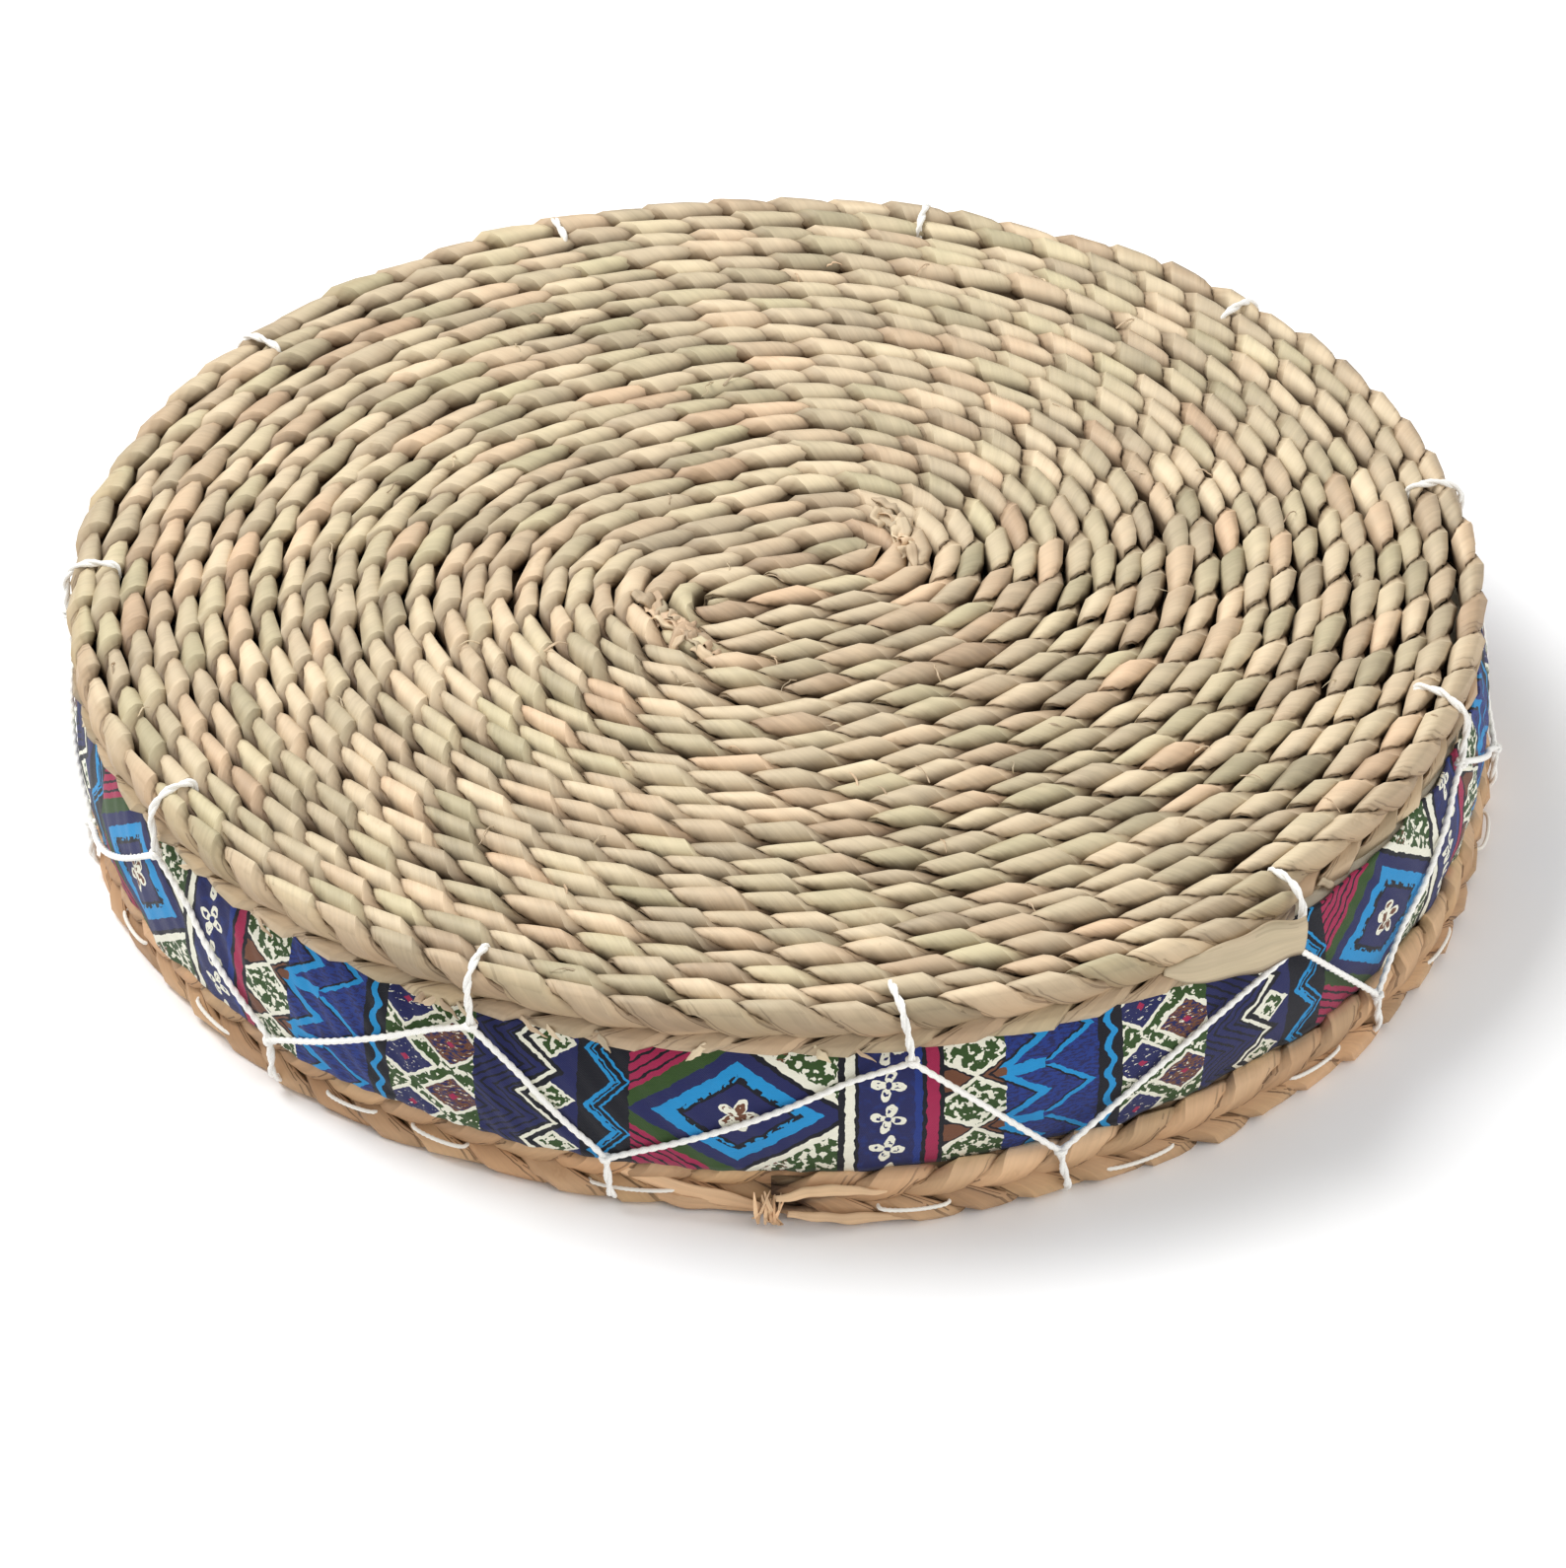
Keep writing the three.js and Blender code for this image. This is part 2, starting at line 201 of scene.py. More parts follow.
# Puts a grid of points into a mesh. Rows run along the piece, each row is a closed ring round it, and
# the two ends get flat caps.
def gridMesh(name, points, attributes=None, uv=None, sharpColumns=()):
    rows, columns = points.shape[:2]
    index = np.arange(rows * columns).reshape(rows, columns)
    here, down = index[:-1], index[1:]
    quads = np.stack([here, np.roll(here, -1, 1), np.roll(down, -1, 1), down], -1)
    loops = np.concatenate([quads.reshape(-1), index[0][::-1], index[-1]])
    sizes = np.concatenate([np.full(quads.size // 4, 4), [columns, columns]])
    mesh = bpy.data.meshes.new(name)
    mesh.vertices.add(rows * columns)
    mesh.vertices.foreach_set("co", points.astype(np.float32).reshape(-1))
    mesh.loops.add(len(loops))
    mesh.loops.foreach_set("vertex_index", loops.astype(np.int32))
    mesh.polygons.add(len(sizes))
    mesh.polygons.foreach_set("loop_start", (np.cumsum(sizes) - sizes).astype(np.int32))
    mesh.update(calc_edges=True)
    mesh.validate()
    for key, values in (attributes or {}).items():
        layer = mesh.attributes.new(key, "FLOAT", "POINT")
        values = np.broadcast_to(values, (rows, columns)).astype(np.float32)
        layer.data.foreach_set("value", values.reshape(-1))
    if uv is not None:
        layer = mesh.uv_layers.new(name="surface")
        layer.data.foreach_set("uv", uv.reshape(-1, 2)[loops].astype(np.float32).reshape(-1))
    mesh.polygons.foreach_set("use_smooth", np.ones(len(sizes), dtype=bool))
    if len(sharpColumns):
        ends = np.empty(2 * len(mesh.edges), dtype=np.int32)
        mesh.edges.foreach_get("vertices", ends)
        ends = ends.reshape(-1, 2) % columns
        sharp = (ends[:, 0] == ends[:, 1]) & np.isin(ends[:, 0], sharpColumns)
        mesh.attributes.new("sharp_edge", "BOOLEAN", "EDGE").data.foreach_set("value", sharp)
    piece = bpy.data.objects.new(name, mesh)
    bpy.context.scene.collection.objects.link(piece)
    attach(piece, "root")
    return piece


# The closed curve that a strand follows round the plait's section: a figure of eight standing on end,
# width = -B sin(2t) and height = A sin(t), with the crossing steepened, measured by its own length.
# The crossing lies a little off the middle of the height where it is asked to.
def strandCourse(halfWidth, halfHeight, crossing, samples=720, easing=11):
    t = np.linspace(0, fullTurn, samples + 1)
    across = -halfWidth * signedPower(np.sin(2 * t), 0.8)
    up = halfHeight * signedPower(np.sin(t), 0.92)
    up = up + crossing * (1 - (up / halfHeight) ** 2)
    length = lengthAlong(np.stack([across, up], 1))
    share = np.linspace(0, 1, samples + 1)
    window = np.hanning(2 * easing + 1)
    eased = []
    for values in (across, up):
        values = np.interp(share, length / length[-1], values)
        wrapped = np.concatenate([values[-easing - 1 : -1], values, values[1 : easing + 1]])
        eased.append(np.convolve(wrapped, window / window.sum(), "valid"))
    slope = unit(np.gradient(np.stack(eased, 1), axis=0))
    return {
        "share": share,
        "across": eased[0],
        "up": eased[1],
        "normalAcross": -slope[:, 1],
        "normalUp": slope[:, 0],
        "girth": length[-1],
    }


strand = {
    "period": 0.0525,  # length of plait for one full zigzag of a strand
    "reach": 0.0215,  # length along the plait that a folded leaf covers
    "halfThickness": 0.0012,
    "halfWidth": 0.0024,
    "leafHalfWidth": 0.006,  # of the leaf itself, which the veins follow
    "steepness": 0.32,  # how much more squarely a leaf crosses the edges than the faces
    "lift": 0.0013,  # how far a fold stands proud at its crease
    "nearEdge": 0.72,  # share of the lift that is left at the edge over the fold before
    "drop": 2.5,  # how many lifts a fold falls from its crease to the edge under the next fold
    "crease": -0.3,  # place of the crease across the leaf, from -1 to 1
    "creaseRange": (-0.62, 0.1),
    "pinch": 0.0016,  # how much narrower a fold is at its two ends than at its crease
    "delay": 0.07,  # how much later, in phase, the near edge dives through the plait than the middle
    "stepsPerPeriod": 22,
    "creaseSpread": 0.14,  # how much the folds differ, as the spread of a bell curve
    "reachSpread": 0.07,
    "dropSpread": 0.12,
    "liftSpread": 0.16,
    "thicknessSpread": 0.1,
    "placeSpread": 0.0002,
    "surfaceSpread": 0.00004,
    "oddShare": 0.07,  # share of the folds that are larger and stand prouder than the rest
    "oddReach": 0.22,
    "oddLift": 0.55,
    "unevenness": 0.0004,  # how far the whole plait wanders up, down and sideways
    "tailLength": 0.034,
    "tailShare": 0.4,  # thickness of the tail's end as a share of the plait's
    "lastTurn": 1.25,  # length of plait whose outer face shows at the rim
}
# Places across the leaf from its far edge to its near one and back: the same on both faces, with a split
# between plies at each edge. The crease and the edges are left sharp.
leafSection = np.array(
    [
        (-1.0, 0.4), (-0.8, 0.86), (-0.42, 1.0), (0.42, 1.0), (0.8, 0.86), (1.0, 0.42), (0.93, 0.02),
        (1.0, -0.4), (0.8, -0.86), (0.42, -1.0), (-0.42, -1.0), (-0.8, -0.86), (-1.0, -0.4), (-0.93, 0.0),
    ]
)
creasePlace = -0.42  # where the section has its crease before each fold moves it
creaseColumns = (0, 2, 5, 7, 10, 12)


# One strand of folded leaf. Its rows are counted by phase f, one per zigzag. The row's middle lies at
# u = P (f - k/3) + c P/(4 pi) sin(4 pi f) along the plait, its points lie at u - x, and all of them stand
# on the section's curve at f, moved along the curve's normal by the leaf's own section. A fold is level
# from its near edge to its crease, and beyond the crease it falls away under the next fold.
def strandPiece(name, mat, order):
    random = np.random.default_rng(mat["seed"] + order)
    winding = mat["winding"]
    top = mat["halfHeight"] - strand["halfThickness"] - strand["lift"]
    course = strandCourse(strand["halfWidth"], top, mat["crossing"])
    periods = winding["length"] / strand["period"]
    phase = np.arange(order / 3, periods + order / 3, 1 / strand["stepsPerPeriod"])[:, None]
    folds = int(2 * phase[-1, 0]) + 4

    # One value for each fold, joined by straight lines from fold to fold.
    def foldByFold(values):
        return np.interp(2 * phase[:, 0] - 0.5, np.arange(folds), values)[:, None]

    def perFold(spread):
        return foldByFold(random.normal(0, spread, folds))

    oddRandom = np.random.default_rng(mat["seed"] + 100 + order)
    odd = foldByFold((oddRandom.random(folds) < strand["oddShare"]) * oddRandom.uniform(0.4, 1, folds))
    middle = strand["period"] * (phase - order / 3)
    middle = middle + strand["steepness"] * strand["period"] / (4 * math.pi) * np.sin(4 * math.pi * phase)
    flat, face = leafSection[:, 0][None], leafSection[:, 1][None]
    crease = np.clip(strand["crease"] + perFold(strand["creaseSpread"]), *strand["creaseRange"])
    place = flat + (crease - creasePlace) * np.maximum(0, 1 - np.abs(flat - creasePlace) / (1 + creasePlace))
    reach = np.clip(perFold(strand["reachSpread"]), -0.16, 0.16) + strand["oddReach"] * odd
    along = np.clip(middle - place * strand["reach"] / 2 * (1 + reach), 0, winding["length"])
    fraction = phase - np.floor(phase)
    look = lambda key: np.interp(fraction, course["share"], course[key])
    side = np.clip(np.sin(fullTurn * fraction) * 1.6, -1, 1)

    # The height of a fold over the course, across the leaf.
    level = strand["nearEdge"] + (1 - strand["nearEdge"]) * (1 - place) / (1 - crease)
    drop = strand["drop"] * (1 + perFold(strand["dropSpread"]))
    falling = 1 - drop * (crease - place) / (1 + crease)
    proud = 1 + perFold(strand["liftSpread"]) + strand["oddLift"] * odd
    lift = strand["lift"] * np.where(place > crease, level, falling) * proud
    onTop = np.abs(look("normalUp"))
    lift = lift * (0.4 + 0.6 * onTop) - strand["pinch"] * (1 - onTop) * (place - crease) ** 2
    lift = lift + perFold(strand["placeSpread"])
    thickness = strand["halfThickness"] * (1 + np.clip(perFold(strand["thicknessSpread"]), -0.25, 0.25))
    rough = random.normal(0, strand["surfaceSpread"], (len(phase), len(leafSection)))
    offset = face * thickness + lift * side + rough
    late = fraction - strand["delay"] * place * np.cos(fullTurn * fraction) ** 2
    dive = np.interp(late - np.floor(late), course["share"], course["across"])
    across = dive + look("normalAcross") * offset + perFold(strand["placeSpread"])
    up = look("up") + look("normalUp") * offset

    # The last of the plait thins towards its inner side, down to a flat tail.
    tail = np.clip((winding["length"] - along) / strand["tailLength"], 0, 1) ** 0.7
    thin = strand["tailShare"] + (1 - strand["tailShare"]) * tail
    across = (across + pitchOf(mat) / 2) * thin - pitchOf(mat) / 2
    up = up * (0.7 + 0.3 * tail)
    bend = np.random.default_rng(mat["seed"] + 7)
    across = across + strand["unevenness"] * wander(along, 0.05, 0.5, bend)
    rise = up + strand["unevenness"] * wander(along, 0.06, 0.7, bend)
    spot = columnsAt(along, winding["stations"], winding["line"])
    spot = spot + columnsAt(along, winding["stations"], winding["outward"]) * across[..., None]
    z = np.maximum(mat["middle"] + mat["hand"] * rise, 0.0002)
    points = np.concatenate([spot, z[..., None]], -1) + padCentre

    # Tone and warmth change from leaf to leaf and drift along the plait. Painted shade darkens the strand where it
    # lies deep in the plait, off the rim. Painted shade with a tan tint darkens each fold's falling facet and the
    # rim's outer face.
    leaf = np.floor(2 * phase).astype(int) % folds
    tone = random.random(folds)[leaf] * 0.65 + 0.35 * (0.5 + 0.3 * wander(phase, 3, 15, random))
    warmth = random.random(folds)[leaf] * 0.6 + 0.4 * (0.5 + 0.35 * wander(phase, 6, 30, random))
    onRim = (along > winding["length"] - strand["lastTurn"]) & (across > 0)
    height = np.abs(up) / mat["halfHeight"]
    attributes = {
        "tone": tone,
        "warmth": warmth,
        "depthShade": np.where(onRim, 0.0, np.clip((0.86 - height) / 0.46, 0, 1)),
        # Painted shade with a tan tint: on each fold beyond its crease, and on the rim's outer face, most at its
        # middle height.
        "facetTanAndShade": np.maximum(np.clip((crease - place) / 0.3, 0, 1), np.where(onRim, np.clip(1.5 - height, 0, 1.3), 0)),
    }
    uv = np.stack(np.broadcast_arrays(phase * course["girth"] * 1.6, place * strand["leafHalfWidth"]), -1)
    return gridMesh(name, points, attributes=attributes, uv=uv, sharpColumns=creaseColumns)


for matName, mat in mats.items():
    for order in range(3):
        piece = strandPiece(f"{matName}Strand{order + 1}", mat, order)
        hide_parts(mat["node"])
        mat["pieces"].append(piece)
print("stage: six strands plaited")


# Points along a smooth curve through a few given ones: a uniform Catmull-Rom spline, then spread evenly.
def smoothPath(corners, spacing):
    corners = np.asarray(corners, dtype=float)
    ends = np.concatenate([[2 * corners[0] - corners[1]], corners, [2 * corners[-1] - corners[-2]]])
    t = np.linspace(0, 1, 25)[:-1, None, None]
    a, b, c, d = ends[:-3], ends[1:-2], ends[2:-1], ends[3:]
    curve = 0.5 * (2 * b + (c - a) * t + (2 * a - 5 * b + 4 * c - d) * t**2 + (3 * b - a - 3 * c + d) * t**3)
    curve = np.concatenate([curve.transpose(1, 0, 2).reshape(-1, 3), corners[-1:]])
    length = lengthAlong(curve)
    even = np.linspace(0, length[-1], max(4, int(length[-1] / spacing) + 1))
    return columnsAt(even, length, curve), length[-1]


# A cord's surface: a round section with a few plies, r = R (1 + d cos(n (angle - turn))), carried along a
# path. The section turns with the lay of the plies, and "aside" is a direction that the path never takes.
def cordSurface(path, radius, aside, plies=3, groove=0.13, lay=0.006, sides=10):
    tangent = unit(np.gradient(path, axis=0))
    first = unit(np.cross(np.broadcast_to(aside, path.shape), tangent))
    second = np.cross(tangent, first)
    length = lengthAlong(path)[:, None]
    angle = np.linspace(0, fullTurn, sides, endpoint=False)[None] + 0 * length
    size = radius * (1 + groove * np.cos(plies * (angle - fullTurn * length / lay)))
    surface = path[:, None] + (size * np.cos(angle))[..., None] * first[:, None]
    surface = surface + (size * np.sin(angle))[..., None] * second[:, None]
    return surface, np.stack([length + 0 * angle, angle * radius], -1)


# Joins finished pieces into the first of them.
def joinPieces(pieces, name):
    with bpy.context.temp_override(active_object=pieces[0], selected_editable_objects=pieces):
        bpy.ops.object.join()
    pieces[0].name = pieces[0].data.name = name
    return pieces[0]


# A point at a radius, an angle and a height.
def polar(radius, angle, height):
    return np.array([radius * math.cos(angle), radius * math.sin(angle), height]) + padCentre


lacing = {
    # The angle of each knot in degrees and how far the far end of its loop leans from it.
    "topLoops": [(-146.9, -1.1), (-113.8, -0.5), (-80.4, -1), (-48, 1.2), (-20.2, 2.5), (13, 0), (45.2, 0),
                 (77.2, 0), (110.5, 0), (142.4, 0), (179.2, 0)],
    "baseLoops": [(-134.1, 0.2), (-103.6, 0.7), (-68.8, 1.4), (-37.2, 1), (-2.6, 0), (29, 0), (61.2, 0),
                  (93.8, 0), (126.4, 0), (160.6, 0), (-167, 0)],
    "reach": 0.013,  # how far in from the rim a loop goes down into the plait
    "loopStep": 0.0008,
    "diagonalStep": 0.0006,
    "cordRadius": 0.00082,
    "pairRadius": 0.00068,  # of each of the two ends of a loop
    "pairTwist": 0.0125,
    "clearance": 0.0003,
    "knotDrop": 0.00095,  # how far under or over a mat's face its knots lie
    "knotOut": 0.0018,
    "slack": 0.005,  # how far the one loose diagonal, on the left, hangs
    "looseDiagonal": (0, -1),
}
# A knot's loop: how far it swings out and rises, its own radius, and the length of cord it takes.
hitch = {"swing": 0.00115, "uneven": 0.0003, "rise": 0.00062, "radius": 0.0006, "cord": 0.012}


# How far from the axis a knot lies: outside the rim or the band, whichever stands out more.
def knotOffset(angle, mat):
    return max(float(rimRadius(angle, mat)), pad["radius"] - pad["bandInset"] + 0.0004) + lacing["knotOut"]


# A loop of the lacing: up from its knot, over the rim, and down into the plait.
def loopPath(angle, lean, mat, out, knot):
    rim = float(rimRadius(angle, mat))
    face = knotOffset(angle, mat)
    away = math.copysign(1, out - knot)
    reach = lacing["reach"]
    return smoothPath(
        [
            polar(face, angle, knot),
            polar(face, angle + 0.2 * lean, knot + away * 0.006),
            polar(face - 0.0003, angle + 0.5 * lean, out - away * 0.0042),
            polar(rim - 0.0022, angle + 0.7 * lean, out - away * 0.0004),
            polar(rim - reach / 2, angle + 0.9 * lean, out + away * 0.0002),
            polar(rim - reach + 0.0012, angle + lean, out - away * 0.0006),
            polar(rim - reach, angle + lean, out - away * 0.005),
        ],
        lacing["loopStep"],
    )


# Out and sideways at an angle, both level.
def levelDirections(angle):
    return np.array([math.cos(angle), math.sin(angle), 0.0]), np.array([-math.sin(angle), math.cos(angle), 0.0])


lacingPieces = []
cordLength = 0.0
knots = {}
for matName, height, out in (
    ("top", topLow - lacing["knotDrop"], topHigh),
    ("base", baseHigh + lacing["knotDrop"], 0.0015),
):
    knots[matName] = []
    for number, (knotAngle, lean) in enumerate(lacing[matName + "Loops"]):
        angle, lean = math.radians(knotAngle), math.radians(lean)
        knots[matName].append((angle, polar(knotOffset(angle, mats[matName]), angle, height)))
        path, length = loopPath(angle, lean, mats[matName], out, height)
        cordLength += 2 * length
        aside = levelDirections(angle)[1]
        second = np.cross(unit(np.gradient(path, axis=0)), aside)
        turn = fullTurn * np.arange(len(path))[:, None] * lacing["loopStep"] / lacing["pairTwist"]
        # Two ends of the cord wind round each other on their way over the rim.
        for half in (0, math.pi):
            ring = 0.72 * lacing["pairRadius"] * (np.cos(turn + half) * aside + np.sin(turn + half) * second)
            surface, uv = cordSurface(path + ring, lacing["pairRadius"], aside, lay=0.004, sides=8)
            lacingPieces.append(gridMesh(f"loop{matName}{number}{int(half)}", surface, uv=uv))

# The diagonals are taut: straight lines from knot to knot, held off by the band where it swells. One hangs.
for number, (toAngle, toPlace) in enumerate(knots["top"]):
    for other in (number - 1, number):
        fromPlace = knots["base"][other][1]
        share = np.linspace(0, 1, 41)[:, None]
        path = fromPlace + (toPlace - fromPlace) * share
        flat = path[:, :2] - padCentre[:2]
        distance = np.linalg.norm(flat, axis=1, keepdims=True)
        clear = bandRadius(path[:, 2:]) + lacing["cordRadius"] + lacing["clearance"]
        path[:, :2] = flat / distance * np.maximum(distance, clear) + padCentre[:2]
        if (number, other) == lacing["looseDiagonal"]:
            path[:, 2] -= lacing["slack"] * np.sin(math.pi * share[:, 0])
        path, length = smoothPath(path[::4], lacing["diagonalStep"])
        cordLength += length
        aside = levelDirections(toAngle)[0]
        surface, uv = cordSurface(path, lacing["cordRadius"], aside, plies=2, groove=0.17, lay=0.006, sides=12)
        lacingPieces.append(gridMesh(f"diagonal{number}{other}", surface, uv=uv))

# Each knot is a hitch: a small closed loop that winds twice round the place where the cords meet.
for matName in knots:
    for number, (angle, place) in enumerate(knots[matName]):
        t = np.linspace(0, fullTurn, 60, endpoint=False)[:, None]
        outward, sideways = levelDirections(angle)
        swing = hitch["swing"] + hitch["uneven"] * np.cos(3 * t)
        ring = swing * np.cos(2 * t) * sideways + swing * np.sin(2 * t) * outward
        ring = ring + hitch["rise"] * np.sin(3 * t + number) * upwards + place
        closed = np.concatenate([ring, ring[:1]])
        surface, uv = cordSurface(closed, hitch["radius"], upwards + 0.2 * outward, lay=0.004, sides=8)
        lacingPieces.append(gridMesh(f"hitch{matName}{number}", surface, uv=uv))
        cordLength += hitch["cord"]
lacingCord = joinPieces(lacingPieces, "lacingCord")
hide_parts("lacing_cord")
print("stage: rim laced with", round(cordLength, 2), "m of cord")


# One stitch: a thin two-ply thread through a few points.
def stitchPiece(name, corners, spacing, radius, lay):
    path = smoothPath(corners, spacing)[0]
    surface, uv = cordSurface(path, radius, upwards, plies=2, lay=lay, sides=8)
    return gridMesh(name, surface, uv=uv)


# Running stitches low on the base mat's rim: each a short thread that dips into the plait at both ends.
rimStitches = {
    "spans": [(-129, -124), (-120.6, -115.8), (-105.3, -98.3), (-82.7, -77.3), (-64.7, -58.7), (-47, -41.2),
              (-28, -23), (-12, -7), (5, 10), (20, 25), (36, 41), (52, 57), (69, 74), (84, 89), (101, 106),
              (117, 122), (134, 139), (150, 155), (168, 173), (-175, -170), (-159, -154), (-145, -140)],
    "height": 0.0068,
    "uneven": 0.0016,
    "sink": 0.004,
    "swell": 0.0009,  # how far the middle of a stitch stands out
    "radius": 0.00055,
    "seed": 500,
}
stitchPieces = []
for number, (start, end) in enumerate(rimStitches["spans"]):
    random = np.random.default_rng(rimStitches["seed"] + number)
    low, high = rimStitches["height"] + random.uniform(-1, 1, 2) * rimStitches["uneven"]
    # Share of the way along, how far out and how high.
    course = (
        (0, -rimStitches["sink"], low),
        (0.04, 0, low),
        (0.5, rimStitches["swell"], (low + high) / 2 - 0.0002),
        (0.96, 0, high),
        (1, -rimStitches["sink"], high),
    )
    corners = []
    for share, out, height in course:
        angle = math.radians(start + (end - start) * share)
        corners.append(polar(float(rimRadius(angle, mats["base"])) + 0.0001 + out, angle, height))
    stitchPieces.append(stitchPiece(f"rimStitch{number}", corners, 0.0007, rimStitches["radius"], 0.003))
rimThread = joinPieces(stitchPieces, "rimStitches")
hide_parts("bottom_rim_thread")

# Whip stitches that close the band at the back: short slanted threads across the seam.
bandSeam = {"angle": math.pi / 2, "count": 12, "margin": 0.003, "reach": 0.0022, "radius": 0.0004}
seamPieces = []
for number in range(bandSeam["count"]):
    span = bandHigh - bandLow - 2 * bandSeam["margin"]
    height = bandLow + bandSeam["margin"] + span * number / (bandSeam["count"] - 1)
    radius = float(bandRadius(height)) + 0.0008
    # Share of the reach, how far out and how high.
    course = ((-1, -0.0012, -0.0009), (-0.6, 0.0002, -0.0005), (0.6, 0.0003, 0.0005), (1, -0.0012, 0.0009))
    corners = [
        polar(radius + out, bandSeam["angle"] + share * bandSeam["reach"] / radius, height + rise)
        for share, out, rise in course
    ]
    seamPieces.append(stitchPiece(f"seamStitch{number}", corners, 0.0005, bandSeam["radius"], 0.002))
bandStitches = joinPieces(seamPieces, "bandSeamStitches")
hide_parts("band_seam_thread")
print("stage: threads sewn")


# A strip of loose leaf along a path: flat, its width given at each place along it, curled about its length
# by a parabola and crumpled by a small wander. "wide" is the direction of its width.
def leafBit(name, path, wide, halfWidth, random, thickness, curl=0.0, crumple=0.0003, tone=None):
    path, length = smoothPath(path, 0.0007)
    tangent = unit(np.gradient(path, axis=0))
    normal = unit(np.cross(tangent, np.broadcast_to(wide, path.shape)))
    sideways = np.cross(normal, tangent)
    share = np.linspace(0, 1, len(path))[:, None]
    reach = np.interp(share, np.linspace(0, 1, len(halfWidth)), halfWidth)
    place = np.concatenate([np.linspace(-1, 1, 7), np.linspace(1, -1, 7)[1:-1]])[None]
    face = np.array([0, 1, 1, 1, 1, 1, 0, -1, -1, -1, -1, -1])[None]  # the two edges are thin
    wave = crumple * wander(share * length + 0.3 * place * reach, 0.25 * length, length, random, 4)
    height = face * thickness - curl * place**2 * reach + wave
    ragged = reach * (1 + 0.07 * wander(share * length + 0 * place, 0.3 * length, 1.2 * length, random, 3))
    points = path[:, None] + (place * ragged)[..., None] * sideways[:, None] + height[..., None] * normal[:, None]
    points[..., 2] = np.maximum(points[..., 2], 0.0002)
    uv = np.stack([share * length + 0 * place, place * reach * 0.8], -1)
    # Loose leaf has no painted depth shade, and a quarter of the falling facet's tan tint and painted shade.
    looks = {
        "tone": random.random() if tone is None else tone,
        "warmth": 0.35 + 0.6 * random.random(),
        "depthShade": 0.0,
        "facetTanAndShade": 0.25,
    }
    return gridMesh(name, points[:, ::-1], attributes=looks, uv=uv[:, ::-1])


# The top mat's loose ends: the flat tail of the plait, crumpled ends by both tips of the first fold, torn
# fibres by the tail, small flaps along the rim's lower edge and a few stray hairs.
frays = {
    "tailSpan": (-60, -47.9),  # degrees
    "tailSink": 0.0018,  # how deep its start lies in the rim
    "tailOut": 0.004,  # how far its end stands outside the rim, over the lacing
    "tailDrop": 0.0034,
    "tailHalfWidth": (0.0012, 0.0042, 0.0058, 0.0064, 0.0068, 0.0071, 0.0072, 0.007),
    "crumpled": [((-37, -15), (-20, -41), 15), ((28, 31), (36.5, 9), 12)],  # from, to, how many, in mm
    "crumpledReach": (4.5, 8),  # half the length of one, in mm
    "fibres": 9,
    "fibreSpan": (-56, -50.5),  # degrees
    "flaps": 34,
    "flapSpan": (0.02, 0.045),
    "hairs": 60,
    "hairReach": (0.002, 0.005),
    "hairWidth": (0.00012, 0.00035),
    "seed": 901,
}
random = np.random.default_rng(frays["seed"])
topBits, baseBits = [], []
tailPath = [
    polar(
        pad["radius"] - frays["tailSink"] + (frays["tailOut"] + frays["tailSink"]) * share**0.5,
        math.radians(angle),
        mats["top"]["middle"] - frays["tailDrop"] * share,
    )
    for share, angle in zip(np.linspace(0, 1, 7), np.linspace(*frays["tailSpan"], 7))
]
topBits.append(leafBit("tailLeaf", tailPath, upwards, frays["tailHalfWidth"], random, 0.0006, 0.1, tone=0.4))
for start, end, count in frays["crumpled"]:
    for number in range(count):
        share = (number + 0.5) / count
        spot = np.array(start) * (1 - share) + np.array(end) * share + random.normal(0, 1.2, 2)
        turn = math.atan2(end[1] - start[1], end[0] - start[0]) + random.normal(0, 0.5)
        heading = np.array([math.cos(turn), math.sin(turn)])
        step = heading * random.uniform(*frays["crumpledReach"])
        level = topHigh / millimetre + random.uniform(-0.9, 0.3)
        ends = [
            (*(spot - step), level - 1.8),
            (*(spot - step * 0.4), level + random.uniform(0.1, 0.8)),
            (*(spot + step * 0.4), level + random.uniform(-0.3, 0.7)),
            (*(spot + step), level - 1.6),
        ]
        path = np.array(ends) * millimetre + padCentre
        wide = np.array([-heading[1], heading[0], random.normal(0, 0.7)])
        halfWidths = np.array([0.5, 2.1, 2.5, 0.4]) * random.uniform(0.55, 1.15) * millimetre
        topBits.append(leafBit(f"crumpled{number}", path, wide, halfWidths, random, 0.00022, 0.22, 0.0005))
for number in range(frays["fibres"]):
    angle = math.radians(random.uniform(*frays["fibreSpan"]))
    low = topLow + random.uniform(0.0005, 0.004)
    lean = random.normal(0, 0.012)
    radius = float(rimRadius(angle, mats["top"]))
    path = [
        polar(radius - 0.001, angle, low),
        polar(radius + 0.0016, angle + 0.5 * lean, low + 0.003),
        polar(radius + 0.0022, angle + lean, low + random.uniform(0.005, 0.008)),
    ]
    topBits.append(leafBit(f"fibre{number}", path, upwards + [1, 0, 0], (0.0005, 0.0006, 0.0001), random, 0.00015))
for number in range(frays["flaps"]):
    angle = random.uniform(0, fullTurn)
    radius = float(rimRadius(angle, mats["top"]))
    span = random.uniform(*frays["flapSpan"]) * random.choice([-1, 1])
    path = [
        polar(radius - 0.0012, angle, topLow + 0.0042),
        polar(radius + 0.0002, angle + span * 0.5, topLow + 0.0018),
        polar(radius + 0.0001, angle + span, topLow + random.uniform(-0.0014, 0.0004)),
    ]
    halfWidths = np.array([1.3, 1.5, 0.1]) * random.uniform(0.5, 1.1) * millimetre
    topBits.append(leafBit(f"flap{number}", path, upwards, halfWidths, random, 0.0002, 0.1, 0.0002))
